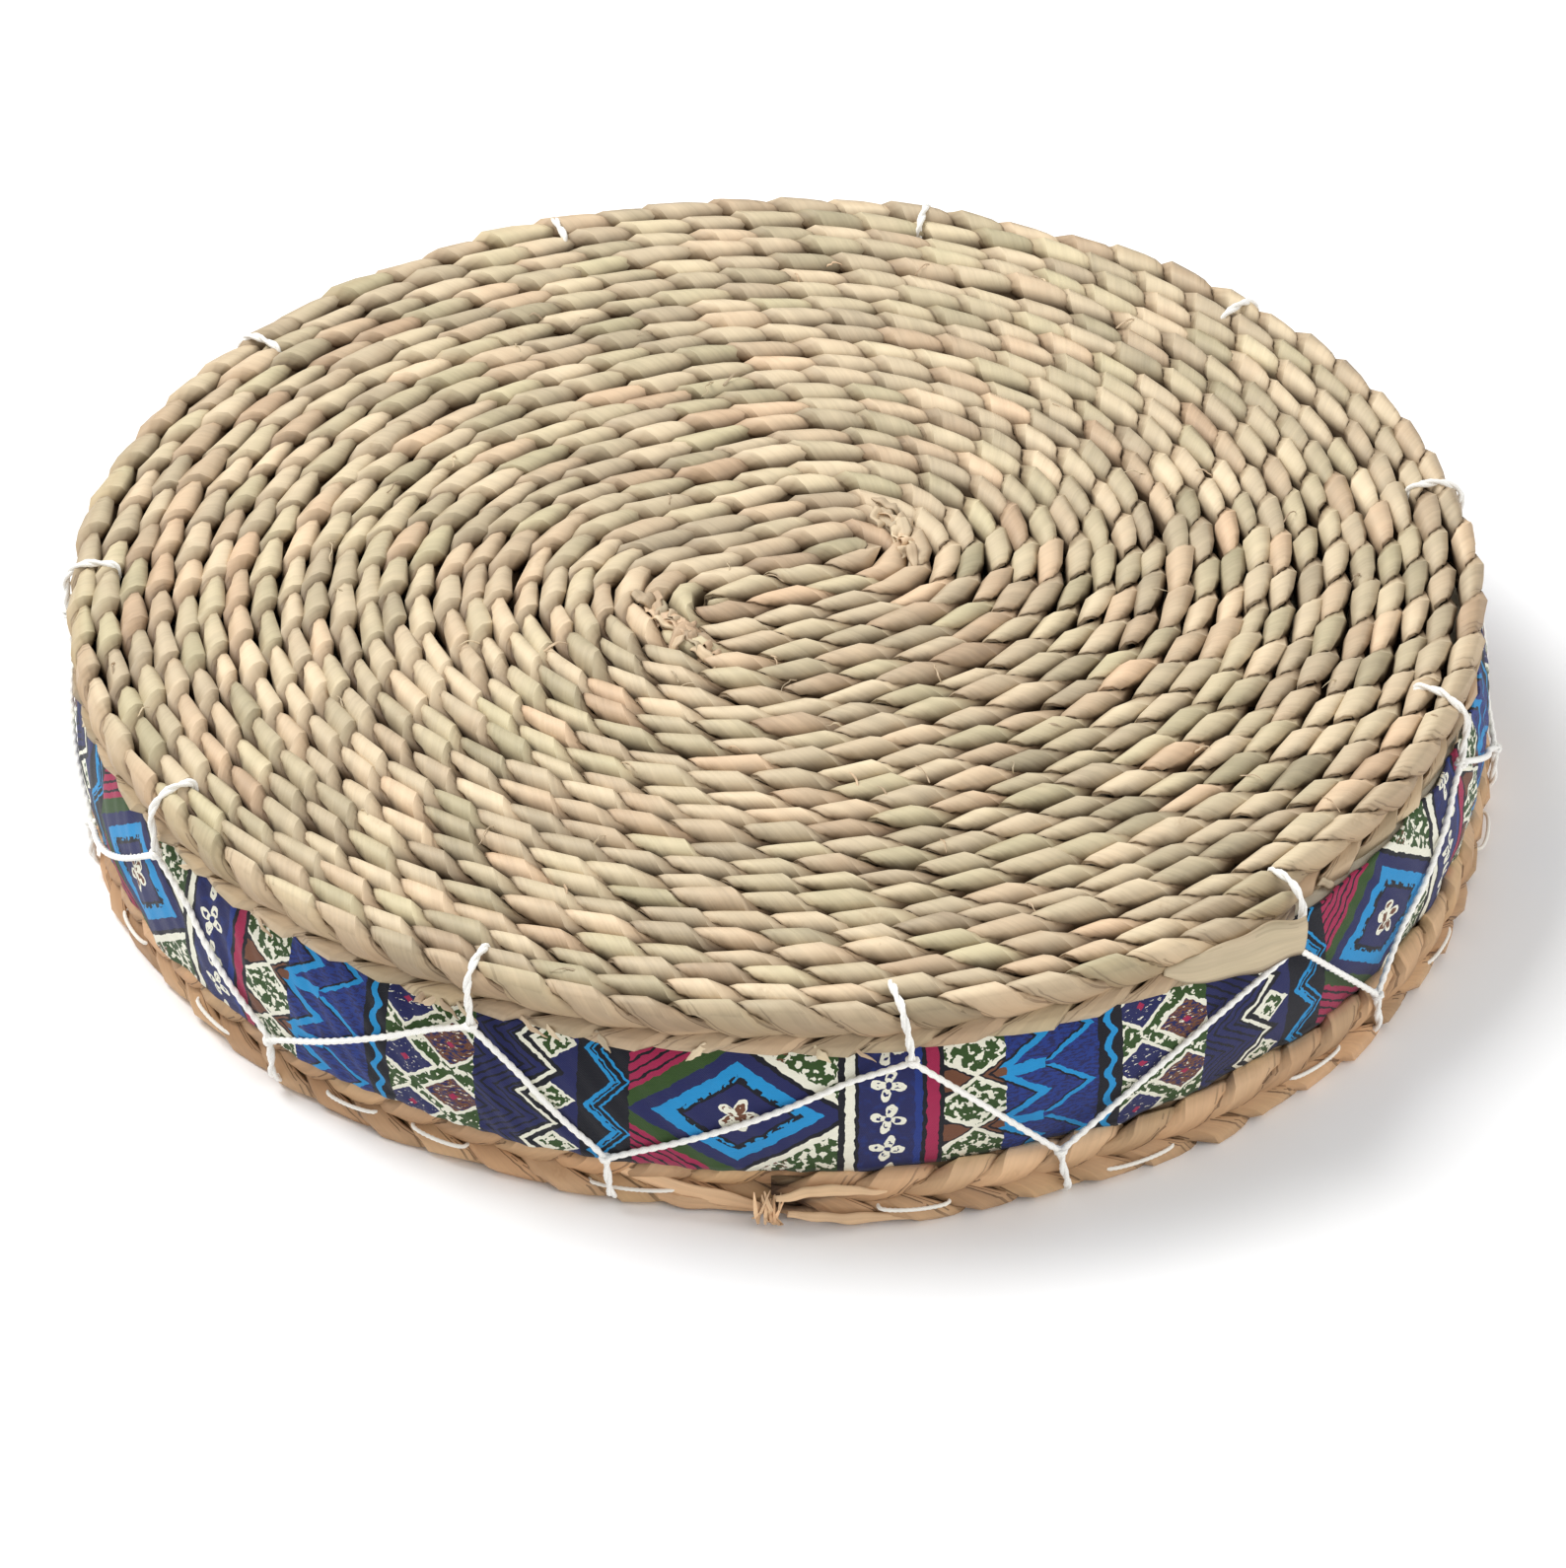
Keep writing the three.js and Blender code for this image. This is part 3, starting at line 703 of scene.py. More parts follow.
for number in range(frays["hairs"]):
    radius, angle = 0.19 * math.sqrt(random.random()), random.uniform(0, fullTurn)
    turn = random.uniform(0, fullTurn)
    spot = polar(radius, angle, topHigh)
    step = levelDirections(turn)[0] * random.uniform(*frays["hairReach"])
    path = [spot - step - 0.0016 * upwards, spot + upwards * random.uniform(0, 0.0006), spot + step - 0.0009 * upwards]
    width = random.uniform(*frays["hairWidth"])
    topBits.append(leafBit(f"hair{number}", path, upwards + [0.3, 1, 0], (width, width, 0.00005), random, 0.0001))

# The base mat's tail is tucked behind a tuft of upright fibres, with two broad leaves laid back from it and
# two laid on. Each broad leaf has its angles in degrees and heights in mm, and its half width in mm.
tuft = {
    "broad": [((-91.6, 3.2), (-97, 6.6), (-104.5, 12.4), 2.6), ((-91.4, 2.2), (-97.5, 3.2), (-103.5, 5.2), 1.9),
              ((-89.6, 6.4), (-84, 3.8), (-79.5, 2.4), 1.8), ((-90.5, 12.2), (-86.5, 13.6), (-82, 11.8), 1.9)],
    "fibres": 16,
    "angle": -91,
    "spread": 0.55,
    "low": (0.0006, 0.003),
    "high": (0.0075, 0.0135),
}
for number, (*places, halfWidth) in enumerate(tuft["broad"]):
    path = []
    for i, (degree, z) in enumerate(places):
        angle = math.radians(degree)
        path.append(polar(float(rimRadius(angle, mats["base"])) + 0.0008 * (1 - i), angle, z * millimetre))
    halfWidths = np.array([0.5, 1, 1, 0.8, 0.2]) * halfWidth * millimetre
    baseBits.append(leafBit(f"broad{number}", path, upwards, halfWidths, random, 0.0005, 0.12, 0.00025))
for number in range(tuft["fibres"]):
    angle = math.radians(random.normal(tuft["angle"], tuft["spread"]))
    low, high = random.uniform(*tuft["low"]), random.uniform(*tuft["high"])
    lean = random.normal(0, 0.008)
    radius = pad["radius"] - 0.0012
    path = [
        polar(radius - 0.001, angle - lean, low),
        polar(radius + random.uniform(0.001, 0.0024), angle, (low + high) / 2),
        polar(radius - 0.0006, angle + lean, high),
    ]
    halfWidths = np.array([0.35, 0.6, 0.15]) * random.uniform(0.5, 1.5) * millimetre
    sideways = np.array([1.0, 0.0, random.normal(0, 0.2)])
    baseBits.append(leafBit(f"tuft{number}", path, sideways, halfWidths, random, 0.0002, 0.3, 0.0002))
for matName, bits in (("top", topBits), ("base", baseBits)):
    loose = joinPieces(bits, matName + "LooseLeaf")
    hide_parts(mats[matName]["node"])
    mats[matName]["pieces"].append(loose)
print("stage: loose ends laid")

# The printed side band: a strip of cloth on the bulging cylinder between the mats. Its radius ripples by
# a small wander that grows towards the edges, where the lacing gathers it, and its ends overlap at the back.
band = {
    "columns": 900,
    "rows": 26,
    "tuck": 0.0012,  # width that lies hidden under each mat
    "meanRadius": 0.196,
    "ripple": 0.00035,
    "fineRipple": 0.00018,
    "overlap": 0.012,
    "overlapLift": 0.0009,
    "printStart": 137.0,  # degrees that the print is turned by
    "printPerDegree": 0.00344,  # metres of print
    "seed": 301,
}
random = np.random.default_rng(band["seed"])
seamAngle = bandSeam["angle"]
angle = seamAngle + np.linspace(0, fullTurn + band["overlap"] / pad["radius"], band["columns"])[:, None]
share = np.linspace(0, 1, band["rows"])[None]
bandWidth = bandHigh - bandLow + 2 * band["tuck"]
height = bandLow - band["tuck"] + bandWidth * share
edge = np.abs(2 * share - 1) ** 3
ripple = band["ripple"] * wander(pad["radius"] * angle, 0.02, 0.09, random) * (0.35 + edge)
ripple = ripple + band["fineRipple"] * wander(pad["radius"] * angle + 0.7 * height, 0.006, 0.02, random)
overlapLift = band["overlapLift"] * np.clip((angle - seamAngle - fullTurn + 0.02) / 0.02, 0, 1)
outer = bandRadius(height) + ripple + overlapLift
radius = np.concatenate([outer, (outer - pad["clothThickness"])[:, ::-1]], 1)
height = np.concatenate([height, height[:, ::-1]], 1) + 0 * angle
bandPoints = np.stack([radius * np.cos(angle), radius * np.sin(angle), height], -1) + padCentre
printAlong = (np.degrees(angle) - 360 + band["printStart"]) * band["printPerDegree"] + 0 * height
bandUv = np.stack([printAlong, height - bandLow], -1)
sideBand = gridMesh("sideBand", bandPoints[:, ::-1], uv=bandUv[:, ::-1])
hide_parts("side_band")
print("stage: band wrapped")

# The linings: round sheets of plain cloth, r and angle on a grid, with a faint wander in height.
discs = {"rings": 40, "columns": 180, "radius": 0.1925, "gap": 0.0001, "wave": 0.00012}
linings = []
for discName, node, baseHeight, seed in (
    ("baseLining", "bottom_lining", bandLow + discs["gap"], 10),
    ("topLining", "top_lining", bandHigh - pad["clothThickness"] - discs["gap"], 9),
):
    random = np.random.default_rng(seed)
    ringRadius = np.linspace(0.0005, discs["radius"], discs["rings"])[:, None]
    turnAngle = np.linspace(0, fullTurn, discs["columns"], endpoint=False)[None]
    x, y = ringRadius * np.cos(turnAngle), ringRadius * np.sin(turnAngle)
    wave = discs["wave"] * wander(x, 0.03, 0.2, random) * (ringRadius / discs["radius"])
    lower, upper = (np.stack([x, y, baseHeight + lift + wave], -1) for lift in (0.0, pad["clothThickness"]))
    points = np.concatenate([lower, upper[::-1]], 0) + padCentre
    lining = gridMesh(discName, points, uv=points[..., :2])
    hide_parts(node)
    linings.append(lining)

# The padding: a superellipse turned about the axis, nearly square in section with soft corners, its wall
# lumpy by a small wander, and rings that close its two flat faces.
padding = {"columns": 200, "rings": 14, "radius": 0.1945, "squareness": 0.16, "lump": 0.0004, "seed": 77}
random = np.random.default_rng(padding["seed"])
profileTurn = np.linspace(-math.pi / 2, math.pi / 2, 41)[:, None]
columnAngle = np.linspace(0, fullTurn, padding["columns"], endpoint=False)[None]
wallRadius = padding["radius"] * np.abs(np.cos(profileTurn)) ** padding["squareness"]
wallHeight = signedPower(np.sin(profileTurn), padding["squareness"])
lumps = padding["lump"] * wander(columnAngle * 0.19 + 0 * wallHeight, 0.04, 0.2, random)
coreRadius = wallRadius + lumps * (wallRadius > 0.15)
coreHeight = (coreHigh.z + coreLow.z) / 2 + (coreHigh.z - coreLow.z) / 2 * wallHeight + 0 * columnAngle
wall = np.stack([coreRadius * np.cos(columnAngle), coreRadius * np.sin(columnAngle), coreHeight], -1)[1:-1]
ringShare = np.linspace(0.02, 0.97, padding["rings"])[:, None, None]
under, over = (wall[i][None] * [1, 1, 0] * ringShare + [0, 0, wall[i, 0, 2]] for i in (0, -1))
paddedCore = gridMesh("paddedCore", np.concatenate([under, wall, over[::-1]], 0) + padCentre)
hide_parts("foam_core")
print("stage: padding and linings laid")


# A value in a node tree. Arithmetic on fields makes Math nodes, so that a formula reads as one.
class Field:
    def __init__(self, tree, socket):
        self.tree, self.socket = tree, socket

    def math(self, operation, *others, clamp=False):
        node = self.tree.nodes.new("ShaderNodeMath")
        node.operation, node.use_clamp = operation, clamp
        for slot, value in enumerate((self, *others)):
            if isinstance(value, Field):
                self.tree.links.new(value.socket, node.inputs[slot])
            else:
                node.inputs[slot].default_value = value
        return Field(self.tree, node.outputs[0])

    def clamped(self):  # kept between 0 and 1
        return self.math("MULTIPLY", 1.0, clamp=True)

    def between(self, low, high):
        return self.math("COMPARE", (low + high) / 2, (high - low) / 2)

    def tooth(self, period):  # a triangle wave from 0 up to half the period and back
        return self.math("PINGPONG", period / 2)

    def fromOrigin(self, other):  # the length of the vector of two fields
        return (self.math("POWER", 2) + other.math("POWER", 2)).math("SQRT")


for methodName, operationName in (
    ("__add__", "ADD"),
    ("__sub__", "SUBTRACT"),
    ("__mul__", "MULTIPLY"),
    ("__abs__", "ABSOLUTE"),
    ("above", "GREATER_THAN"),
    ("below", "LESS_THAN"),
    ("modulo", "FLOORED_MODULO"),
    ("least", "MINIMUM"),
    ("most", "MAXIMUM"),
):
    setattr(Field, methodName, lambda self, *others, operation=operationName: self.math(operation, *others))


# A value that the piece carries at each of its points.
def attributeField(tree, name):
    node = tree.nodes.new("ShaderNodeAttribute")
    node.attribute_name = name
    return Field(tree, node.outputs["Fac"])


# The piece's own UV map, in metres, each part times its stretch.
def uvVector(tree, stretch=(1, 1, 1)):
    uvNode = tree.nodes.new("ShaderNodeUVMap")
    uvNode.uv_map = "surface"
    mapping = tree.nodes.new("ShaderNodeMapping")
    mapping.inputs["Scale"].default_value = stretch
    tree.links.new(uvNode.outputs[0], mapping.inputs["Vector"])
    return mapping.outputs[0]


# The place of a point in the piece's own frame.
def objectVector(tree):
    return tree.nodes.new("ShaderNodeTexCoord").outputs["Object"]


# The first two parts of a vector or a colour, as fields.
def twoParts(tree, vector, kind="ShaderNodeSeparateXYZ"):
    separate = tree.nodes.new(kind)
    tree.links.new(vector, separate.inputs[0])
    return Field(tree, separate.outputs[0]), Field(tree, separate.outputs[1])


# Smooth noise over a vector: its colour gives three values at once, its factor one.
def noiseNode(tree, vector, scale, detail, roughness=0.5):
    node = tree.nodes.new("ShaderNodeTexNoise")
    node.inputs["Scale"].default_value = scale
    node.inputs["Detail"].default_value = detail
    node.inputs["Roughness"].default_value = roughness
    tree.links.new(vector, node.inputs["Vector"])
    return node


def noiseField(tree, vector, scale, detail=3.0, roughness=0.55):
    return Field(tree, noiseNode(tree, vector, scale, detail, roughness).outputs["Fac"])


# Lays a colour over another where a mask is 1. Either may be a socket or a plain colour.
def layColour(tree, under, over, mask, blend="MIX"):
    node = tree.nodes.new("ShaderNodeMix")
    node.data_type, node.blend_type = "RGBA", blend
    for value, slot in ((under, 6), (over, 7)):
        if isinstance(value, tuple):
            node.inputs[slot].default_value = (*value, 1)
        else:
            tree.links.new(value, node.inputs[slot])
    tree.links.new(mask.socket, node.inputs[0])
    return node.outputs[2]


# Makes a colour lighter or darker: each of its parts times a field.
def shadeColour(tree, colour, light):
    grey = tree.nodes.new("ShaderNodeCombineColor")
    for slot in range(3):
        tree.links.new(light.socket, grey.inputs[slot])
    node = tree.nodes.new("ShaderNodeMix")
    node.data_type, node.blend_type = "RGBA", "MULTIPLY"
    node.inputs[0].default_value = 1.0
    tree.links.new(colour, node.inputs[6])
    tree.links.new(grey.outputs[0], node.inputs[7])
    return node.outputs[2]


# A colour given as it looks on a screen, from 0 to 255, turned into the light it stands for.
def screenColour(red, green, blue):
    values = np.array([red, green, blue]) / 255
    light = np.where(values <= 0.04045, values / 12.92, ((values + 0.055) / 1.055) ** 2.4)
    return tuple(float(v) for v in light)


# A plain colour with its fourth part, or a number as it is.
def socketValue(value):
    return (*value, 1) if isinstance(value, tuple) else value


colourKind, floatKind = "NodeSocketColor", "NodeSocketFloat"
surfaceOutputs = {"Colour": colourKind, "Height": floatKind, "Roughness": floatKind}


# An empty node group. Its inputs are colours where a colour is given for them, and numbers otherwise.
def newGroup(name, inputs, outputs):
    group = bpy.data.node_groups.new(name, "ShaderNodeTree")
    for inputName, value in inputs.items():
        kind = colourKind if isinstance(value, tuple) else floatKind
        socket = group.interface.new_socket(inputName, in_out="INPUT", socket_type=kind)
        socket.default_value = socketValue(value)
    for outputName, kind in outputs.items():
        group.interface.new_socket(outputName, in_out="OUTPUT", socket_type=kind)
    return group, group.nodes.new("NodeGroupInput").outputs, group.nodes.new("NodeGroupOutput").inputs


# The darkest colour paints shade into the plait. The tan one colours the leaf's edges and specks, and paints shade on
# the falling facets.
reedColours = {
    "Pale": screenColour(208, 190, 160),
    "Green": screenColour(184, 175, 140),
    "Rosy": screenColour(206, 172, 140),
    "TanAndShade": screenColour(144, 112, 78),
    "PaintedShade": screenColour(70, 46, 22),
    "Contrast": 1.3,
    "Shade": 0.88,
    "PlyGapShade": 0.45,
}
agedColours = {
    "Pale": screenColour(234, 198, 158),
    "Green": screenColour(214, 184, 140),
    "Rosy": screenColour(230, 182, 138),
    "TanAndShade": screenColour(156, 112, 72),
    "PaintedShade": screenColour(52, 30, 14),
    "Contrast": 1.2,
    "Shade": 0.9,
    "PlyGapShade": 0.6,
}


# Folded reed leaf. Long veins and paler or darker leaves, green in one and rosy in the next, tan at the
# leaf's edges and small brown specks. Painted shade where the leaf lies deep in the plait, over the far end of
# each fold under the next, along the leaf's edges and in the gaps between its plies, and painted shade with a
# tan tint on each fold's falling facet and on the rim's outer face.
def leafGroup():
    group, given, result = newGroup("reedLeaf", reedColours, surfaceOutputs)
    tone, warmth, depthShade, facetTanAndShade = (attributeField(group, name) for name in ("tone", "warmth", "depthShade", "facetTanAndShade"))
    contrast, shade, plyGapShadeAmount = (Field(group, given[name]) for name in ("Contrast", "Shade", "PlyGapShade"))
    veins = noiseField(group, uvVector(group, (40, 1500, 1)), 1.0, 4.0, 0.6) - 0.5
    broad = noiseField(group, uvVector(group, (25, 260, 1)), 1.0, 2.0) - 0.5
    patches = noiseField(group, objectVector(group), 55.0) - 0.5
    specks = noiseField(group, objectVector(group), 900.0, 2.0)
    place = twoParts(group, uvVector(group, (1, 1 / strand["leafHalfWidth"], 1)))[1]
    colour = given["Pale"]

    def lay(over, mask):
        nonlocal colour
        colour = layColour(group, colour, given[over], mask)

    lay("Green", (warmth * -2.2 + 1.15 + patches * 1.2).clamped() * 0.75)
    lay("Rosy", (warmth * 2.4 - 1.35 + patches * 1.4).clamped() * 0.7)
    lay("TanAndShade", ((abs(place) - 0.72) * 3.2 + veins * 0.8).clamped() * 0.3)
    # Painted shade with a tan tint on each fold's falling facet and on the rim's outer face.
    lay("TanAndShade", facetTanAndShade * 0.5)
    # Painted shadow lines: over the far end of each fold, where it runs under the next fold, and along both edges of
    # the leaf.
    shadowUnderNext = ((place * -1 - 0.62) * 3.4).clamped()
    edgeShadowLine = ((abs(place) - 0.93) * 14).clamped()
    lay("PaintedShade", shadowUnderNext.most(edgeShadowLine) * 0.5)
    # Painted shade: thin dark lines in the gaps where the plies of a folded leaf part, near its edges and only here
    # and there.
    plies = abs(abs(place) - 0.66 - broad * 0.5).below(0.035) * patches.above(-0.03)
    plies = plies + abs(abs(place) - 0.84 - broad * 0.4).below(0.025) * patches.below(0.06)
    lay("PaintedShade", plies * (facetTanAndShade * 0.8 + 0.12) * plyGapShadeAmount)
    light = (tone - 0.5) * 0.42 * contrast + veins * 0.34 + broad * 0.4 + 0.98
    colour = shadeColour(group, colour, light)
    lay("TanAndShade", ((specks - 0.7) * 14 * (patches + 0.15)).clamped() * 0.7)
    # Painted shade where the strand lies deep in the plait.
    lay("PaintedShade", (depthShade * shade).clamped())
    group.links.new(colour, result["Colour"])
    group.links.new((veins * 0.6 + broad * 1.4 + patches * 0.5).socket, result["Height"])
    group.links.new((veins * 0.3 + 0.6).socket, result["Roughness"])
    return group


# Plain-weave cloth: warp and weft as two crossed sine waves of the piece's own UV map, with slubs.
def weaveGroup():
    group, given, result = newGroup(
        "clothWeave", {"Thread pitch": 0.0005, "Colour": (0.8, 0.8, 0.8)}, surfaceOutputs
    )
    pitch = Field(group, given["Thread pitch"])
    warp, weft = (
        (part.math("DIVIDE", pitch) * fullTurn).math("SINE") for part in twoParts(group, uvVector(group))
    )
    weave = warp * weft
    slubs = noiseField(group, uvVector(group, (300, 2400, 1)), 1.0) - 0.5
    crumple = noiseField(group, uvVector(group, (60, 60, 1)), 1.0) - 0.5
    light = weave * 0.06 + slubs * 0.22 + crumple * 0.16 + 0.97
    group.links.new(shadeColour(group, given["Colour"], light), result["Colour"])
    group.links.new((weave * 0.5 + slubs * 0.8 + crumple * 2).socket, result["Height"])
    group.links.new((slubs * 0.2 + 0.82).socket, result["Roughness"])
    return group


# A material with a Principled shader of its own, and the tree it stands in.
def newMaterial(name):
    material = bpy.data.materials.new(name)
    material.use_nodes = True
    return material, material.node_tree, material.node_tree.nodes["Principled BSDF"]


# Tilts the shader's normal by the slope of a height from 0 to 1, times a distance in metres.
def addBump(tree, shader, height, distance):
    bump = tree.nodes.new("ShaderNodeBump")
    bump.inputs["Strength"].default_value = 1.0
    bump.inputs["Distance"].default_value = distance
    tree.links.new(height, bump.inputs["Height"])
    tree.links.new(bump.outputs[0], shader.inputs["Normal"])


# A material whose colour, roughness and bump come from a node group.
def groupMaterial(name, group, values, bump, specular=0.2, sheen=0.0, colourGroup=None):
    material, tree, shader = newMaterial(name)
    node = tree.nodes.new("ShaderNodeGroup")
    node.node_tree = group
    for key, value in values.items():
        node.inputs[key].default_value = socketValue(value)
    if colourGroup is not None:
        colourNode = tree.nodes.new("ShaderNodeGroup")
        colourNode.node_tree = colourGroup
        tree.links.new(colourNode.outputs["Colour"], node.inputs["Colour"])
    tree.links.new(node.outputs["Colour"], shader.inputs["Base Color"])
    tree.links.new(node.outputs["Roughness"], shader.inputs["Roughness"])
    addBump(tree, shader, node.outputs["Height"], bump)
    shader.inputs["Specular IOR Level"].default_value = specular
    shader.inputs["Sheen Weight"].default_value = sheen
    shader.inputs["Sheen Roughness"].default_value = 0.5
    return material


# Gives pieces one material in place of what they had.
def dress(pieces, material):
    for piece in pieces:
        piece.data.materials.clear()
        piece.data.materials.append(material)


# The printed band. The pattern repeats along the band and its panels are drawn one over another, in
# millimetres: x along the repeat, y up from the band's lower edge, both shaken a little like a block print.
printSizes = {
    "repeat": 202.0,
    "middle": 19.7,
    "step": 17.4,  # height of one zigzag
    "rosetteStep": 10.8,
    "shake": 1.5,
    "navy": screenColour(36, 40, 88),
    "blue": screenColour(36, 56, 128),
    "cyan": screenColour(34, 142, 202),
    "crimson": screenColour(160, 38, 78),
    "green": screenColour(52, 78, 36),
    "cream": screenColour(236, 234, 216),
    "brown": screenColour(112, 72, 52),
    "black": screenColour(22, 23, 32),
}


# Each panel is a mask between two values of x, and each motif in it a mask of its own formula.
def printGroup():
    group, _, result = newGroup("bandPrint", {}, {"Colour": colourKind})
    size, step = printSizes, printSizes["step"]
    navy, blue, cyan, crimson = size["navy"], size["blue"], size["cyan"], size["crimson"]
    green, cream, brown, black = size["green"], size["cream"], size["brown"], size["black"]
    inMillimetres = uvVector(group, (1000, 1000, 1))
    rawX, rawY = twoParts(group, inMillimetres)
    shakeNoise = noiseNode(group, inMillimetres, 0.42, 2.5)
    shakeX, shakeY = twoParts(group, shakeNoise.outputs["Color"], "ShaderNodeSeparateColor")
    x = (rawX + (shakeX - 0.5) * size["shake"]).modulo(size["repeat"])
    y = rawY + (shakeY - 0.5) * size["shake"]
    centred = y - size["middle"]
    # Distance from the middles of a column of motifs, one to each step of the zigzag.
    cell = abs((y + step * 0.5 - 1.3).modulo(step) - step / 2)
    offCell = abs((y - 1.3).modulo(step) - step / 2)
    tooth = (y - 1.3).tooth(step) * (2 / step)
    scribble = noiseField(group, inMillimetres, 0.44, 2.0, 0.5)
    scratch = noiseField(group, uvVector(group, (520, 1500, 1)), 0.9, 2.0, 0.6)
    colour = layColour(group, navy, blue, (scribble - 0.52).math("MULTIPLY", 6.0, clamp=True) * 0.5)

    def lay(over, *masks):
        nonlocal colour
        mask = masks[0]
        for other in masks[1:]:
            mask = mask * other
        colour = layColour(group, colour, over, mask)

    # Plain stripes, each with its colour and its two edges.
    def layStripes(*stripes):
        for over, low, high in stripes:
            lay(over, x.between(low, high))

    # Scribbled leaves in rounded six-sided frames on black.
    panel = x.between(2.2, 19.5)
    leaf = abs(x - 11) * 0.62 + cell
    lay(black, panel)
    lay(cream, panel, leaf.below(9.0))
    lay(green, panel, leaf.below(7.6))
    lay(cream, panel, leaf.below(7.6), scribble.above(0.53))
    lay(brown, panel, leaf.above(9.6), offCell.below(3.2))
    # Bright arrows on blue, one inside another.
    panel, wide = x.between(19, 45), x.between(9, 45)
    arrow = (x - 30) + cell * 1.5
    lay(blue, panel)
    lay(navy, panel, scratch.above(0.52))
    lay(cyan, wide, arrow.between(-2.0, 1.6), cell.below(7.4))
    lay(black, wide, arrow.between(-3.2, -2.0))
    lay(cyan, panel, (arrow - 13).between(-1.1, 1.1), cell.below(8))
    lay(black, panel, (arrow - 13).between(-2.1, -1.1))
    lay(cyan, panel, offCell.below(1.6), x.below(30))
    # A bright wavy line on a dark stripe.
    layStripes((black, 45, 52))
    wave = x - 48.4 + (y * (fullTurn / 8.5)).math("SINE") * 0.9
    lay(cyan, wave.between(-1.0, 1.0))
    # A honeycomb, every other cell navy or brown, on scribbled green.
    panel = x.between(52, 78.5)
    nearLeft = abs(x - 58) * 0.75 + cell
    nearRight = abs(x - 72) * 0.75 + offCell
    comb = nearLeft.least(nearRight)
    lay(green, panel)
    lay(cream, panel, scribble.above(0.56))
    lay(cream, panel, comb.below(7.7))
    lay(navy, panel, comb.below(6.4))
    lay(brown, panel, nearRight.below(6.4), scratch.above(0.47))
    lay(cream, panel, comb.below(5.6), scratch.above(0.64))
    lay(crimson, panel, comb.below(1.1))
    # Nested dark chevrons, a white zigzag and scribbled triangles.
    panel = x.between(78.5, 108)
    slope = tooth * 12
    chevron = x - 80 - slope
    lay(navy, panel)
    lay(black, panel, chevron.modulo(3.6).below(1.1), chevron.below(13))
    line = x - 91 - slope * 0.85
    lay(cream, panel, line.above(3.2), line.below(19))
    lay(green, panel, line.above(5.0), scribble.below(0.52))
    lay(black, panel, line.between(-1.9, 3.2))
    lay(cream, panel, line.between(-0.8, 0.9))
    lay(navy, panel, (x - 107 + slope).above(0), line.above(3.2))
    lay(cream, panel, (x - 107 + slope).between(-1.0, 0.2), line.above(3.2))
    # A double bright zigzag on black.
    panel = x.between(107.5, 121.5)
    zigzag = x - 110.5 - tooth * 7.5
    lay(black, panel)
    lay(cyan, panel, zigzag.between(-1.3, 1.5))
    lay(cyan, panel, (zigzag - 3.4).between(-0.45, 0.45))
    lay(black, panel, (zigzag - 0.6).between(-0.3, 0.35), scribble.above(0.45))
    # A large lozenge with a bright ring, striped corners on its left and scribbled ones on its right.
    panel = x.between(121.5, 178.5)
    left, right = panel * x.below(150), panel * x.above(150)
    lozenge = abs(x - 150) * (1 / 28.5) + abs(centred) * (1 / 20.5)
    lay(navy, panel)
    lay(green, left, lozenge.between(1.02, 1.26))
    lay(crimson, left, lozenge.above(1.26))
    lay(black, left, lozenge.above(1.26), (lozenge * 10).modulo(1.5).below(0.42))
    lay(cream, right, lozenge.above(1.08))
    lay(green, right, lozenge.above(1.2), scribble.below(0.53))
    lay(brown, right, lozenge.above(1.2), x.below(163), scratch.above(0.56))
    lay(black, right, lozenge.between(1.0, 1.08))
    lay(cyan, panel, lozenge.between(0.55, 0.8))
    lay(black, panel, lozenge.between(0.55, 0.61), scribble.above(0.5))
    lay(black, panel, lozenge.between(0.5, 0.55))
    # A five-petalled flower: r below a + b |cos(2.5 angle)|.
    petals = abs((centred.math("ARCTAN2", x - 150) * 2.5).math("COSINE")) * 3.2 + 2.4
    flower = (x - 150).fromOrigin(centred) - petals
    lay(cream, panel, flower.below(0))
    lay(brown, panel, flower.below(-1.0), scribble.above(0.48))
    # A black and a white stripe, then a row of rosettes, then a black and a crimson stripe.
    layStripes((black, 176.2, 178.0), (cream, 178.0, 180.6), (black, 180.6, 181.6))
    panel = x.between(181.6, 196)
    rowX, rowY = x - 189.3, (y - 1.2).modulo(size["rosetteStep"]) - size["rosetteStep"] / 2
    petals = abs((rowY.math("ARCTAN2", rowX) * 2 + 0.5).math("COSINE")) * 4.4 + 0.6
    middle = rowX.fromOrigin(rowY)
    lay(cream, (middle - petals).below(0), middle.above(0.9), panel)
    lay(navy, (middle - petals).below(-1.5), middle.above(2.0), scribble.above(0.5), panel)
    layStripes((blue, 196.4, 198.4), (black, 198.4, 199.6))
    lay(crimson, x.above(199.6))
    lay(crimson, x.below(0.9))
    layStripes((black, 0.9, 2.2))
    group.links.new(colour, result["Colour"])
    return group


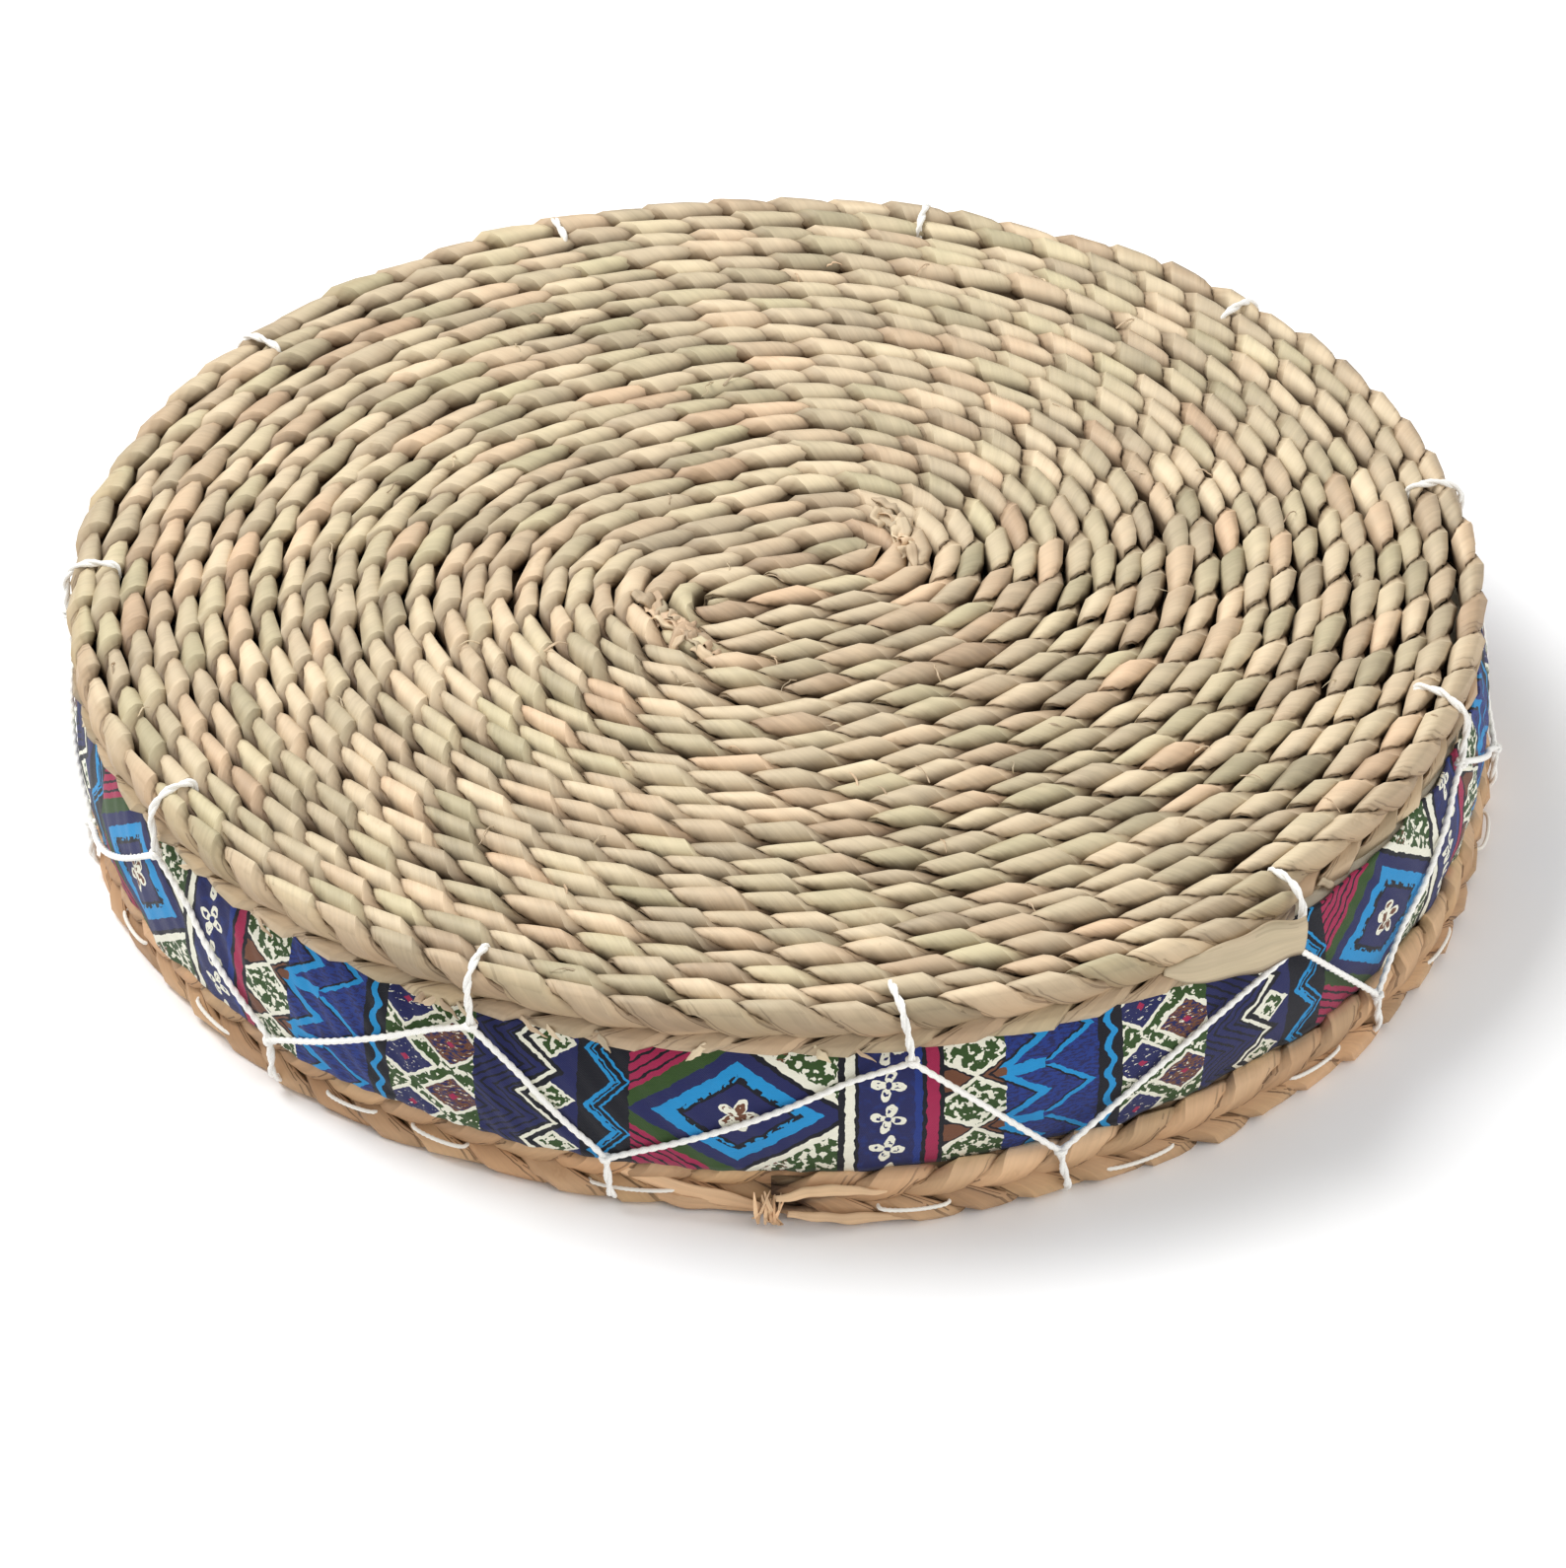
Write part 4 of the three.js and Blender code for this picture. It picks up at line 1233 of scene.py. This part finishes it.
cottons = {
    "plain": {"Thread pitch": 0.0006, "Colour": screenColour(218, 208, 186)},
    "cord": {"Thread pitch": 0.0009, "Colour": screenColour(250, 248, 242)},
    "thread": {"Thread pitch": 0.0006, "Colour": screenColour(246, 242, 232)},
    "printed": {"Thread pitch": 0.00055},
}
reed, weave = leafGroup(), weaveGroup()
reedMaterial = groupMaterial("reed", reed, reedColours, 0.00022, specular=0.35)
agedMaterial = groupMaterial("agedReed", reed, agedColours, 0.00025, specular=0.3)
printMaterial = groupMaterial(
    "printedCotton", weave, cottons["printed"], 0.00008, sheen=0.15, colourGroup=printGroup()
)
cottonMaterial = groupMaterial("plainCotton", weave, cottons["plain"], 0.00008, sheen=0.15)
cordMaterial = groupMaterial("cottonCord", weave, cottons["cord"], 0.00004, sheen=0.25)
threadMaterial = groupMaterial("sewingThread", weave, cottons["thread"], 0.00003, sheen=0.2)


# Soft padding: pale, with open cells drawn by a Voronoi pattern and a low lumpy noise.
def paddingMaterial():
    material, tree, shader = newMaterial("padding")
    cells = tree.nodes.new("ShaderNodeTexVoronoi")
    cells.inputs["Scale"].default_value = 700
    tree.links.new(objectVector(tree), cells.inputs["Vector"])
    lumps = noiseField(tree, objectVector(tree), 60.0)
    mix = (Field(tree, cells.outputs["Distance"]) * 0.5 + lumps * 0.5).clamped()
    colour = layColour(tree, screenColour(206, 196, 168), screenColour(240, 234, 214), mix)
    tree.links.new(colour, shader.inputs["Base Color"])
    addBump(tree, shader, mix.socket, 0.0004)
    shader.inputs["Roughness"].default_value = 0.95
    return material


dress(mats["top"]["pieces"], reedMaterial)
dress(mats["base"]["pieces"], agedMaterial)
dress([sideBand], printMaterial)
dress([lacingCord], cordMaterial)
dress([rimThread, bandStitches], threadMaterial)
dress(linings, cottonMaterial)
dress([paddedCore], paddingMaterial())
dress([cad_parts[n] for n in ("top_seam_thread", "bottom_seam_thread", "top_coil_thread")], threadMaterial)
print("stage: materials made")

# Studio: a pale floor, a large soft light from the left, a weaker one from the right, white all round.
studio = {
    "floorSize": 7.0,
    "floorColour": (0.97, 0.97, 0.97),
    "surround": 0.57,
    "keyPlace": (-1.25, 0.55, 2.1),
    "keyPower": 58,
    "keySize": 1.4,
    "fillPlace": (1.9, -1.5, 1.3),
    "fillPower": 24,
    "fillSize": 2.0,
}
bpy.ops.mesh.primitive_grid_add(x_subdivisions=8, y_subdivisions=8, size=studio["floorSize"])
floor = bpy.context.object
floor.name = "studioFloor"
floorMaterial, floorTree, floorShader = newMaterial("studioFloor")
floorShader.inputs["Base Color"].default_value = (*studio["floorColour"], 1)
floorShader.inputs["Roughness"].default_value = 0.9
floor.data.materials.append(floorMaterial)
for lampName in ("key", "fill"):
    lampData = bpy.data.lights.new(lampName + "Light", "AREA")
    lampData.size = studio[lampName + "Size"]
    lampData.energy = studio[lampName + "Power"]
    lamp = bpy.data.objects.new(lampName + "Light", lampData)
    bpy.context.scene.collection.objects.link(lamp)
    lamp.location = studio[lampName + "Place"]
    lamp.rotation_euler = (-lamp.location).to_track_quat("-Z", "Y").to_euler()
world = bpy.data.worlds.new("studioWhite")
bpy.context.scene.world = world
world.use_nodes = True
world.node_tree.nodes["Background"].inputs["Color"].default_value = (1, 1, 1, 1)
world.node_tree.nodes["Background"].inputs["Strength"].default_value = studio["surround"]
bpy.context.scene.view_settings.view_transform = "Standard"
print("stage: studio lit")
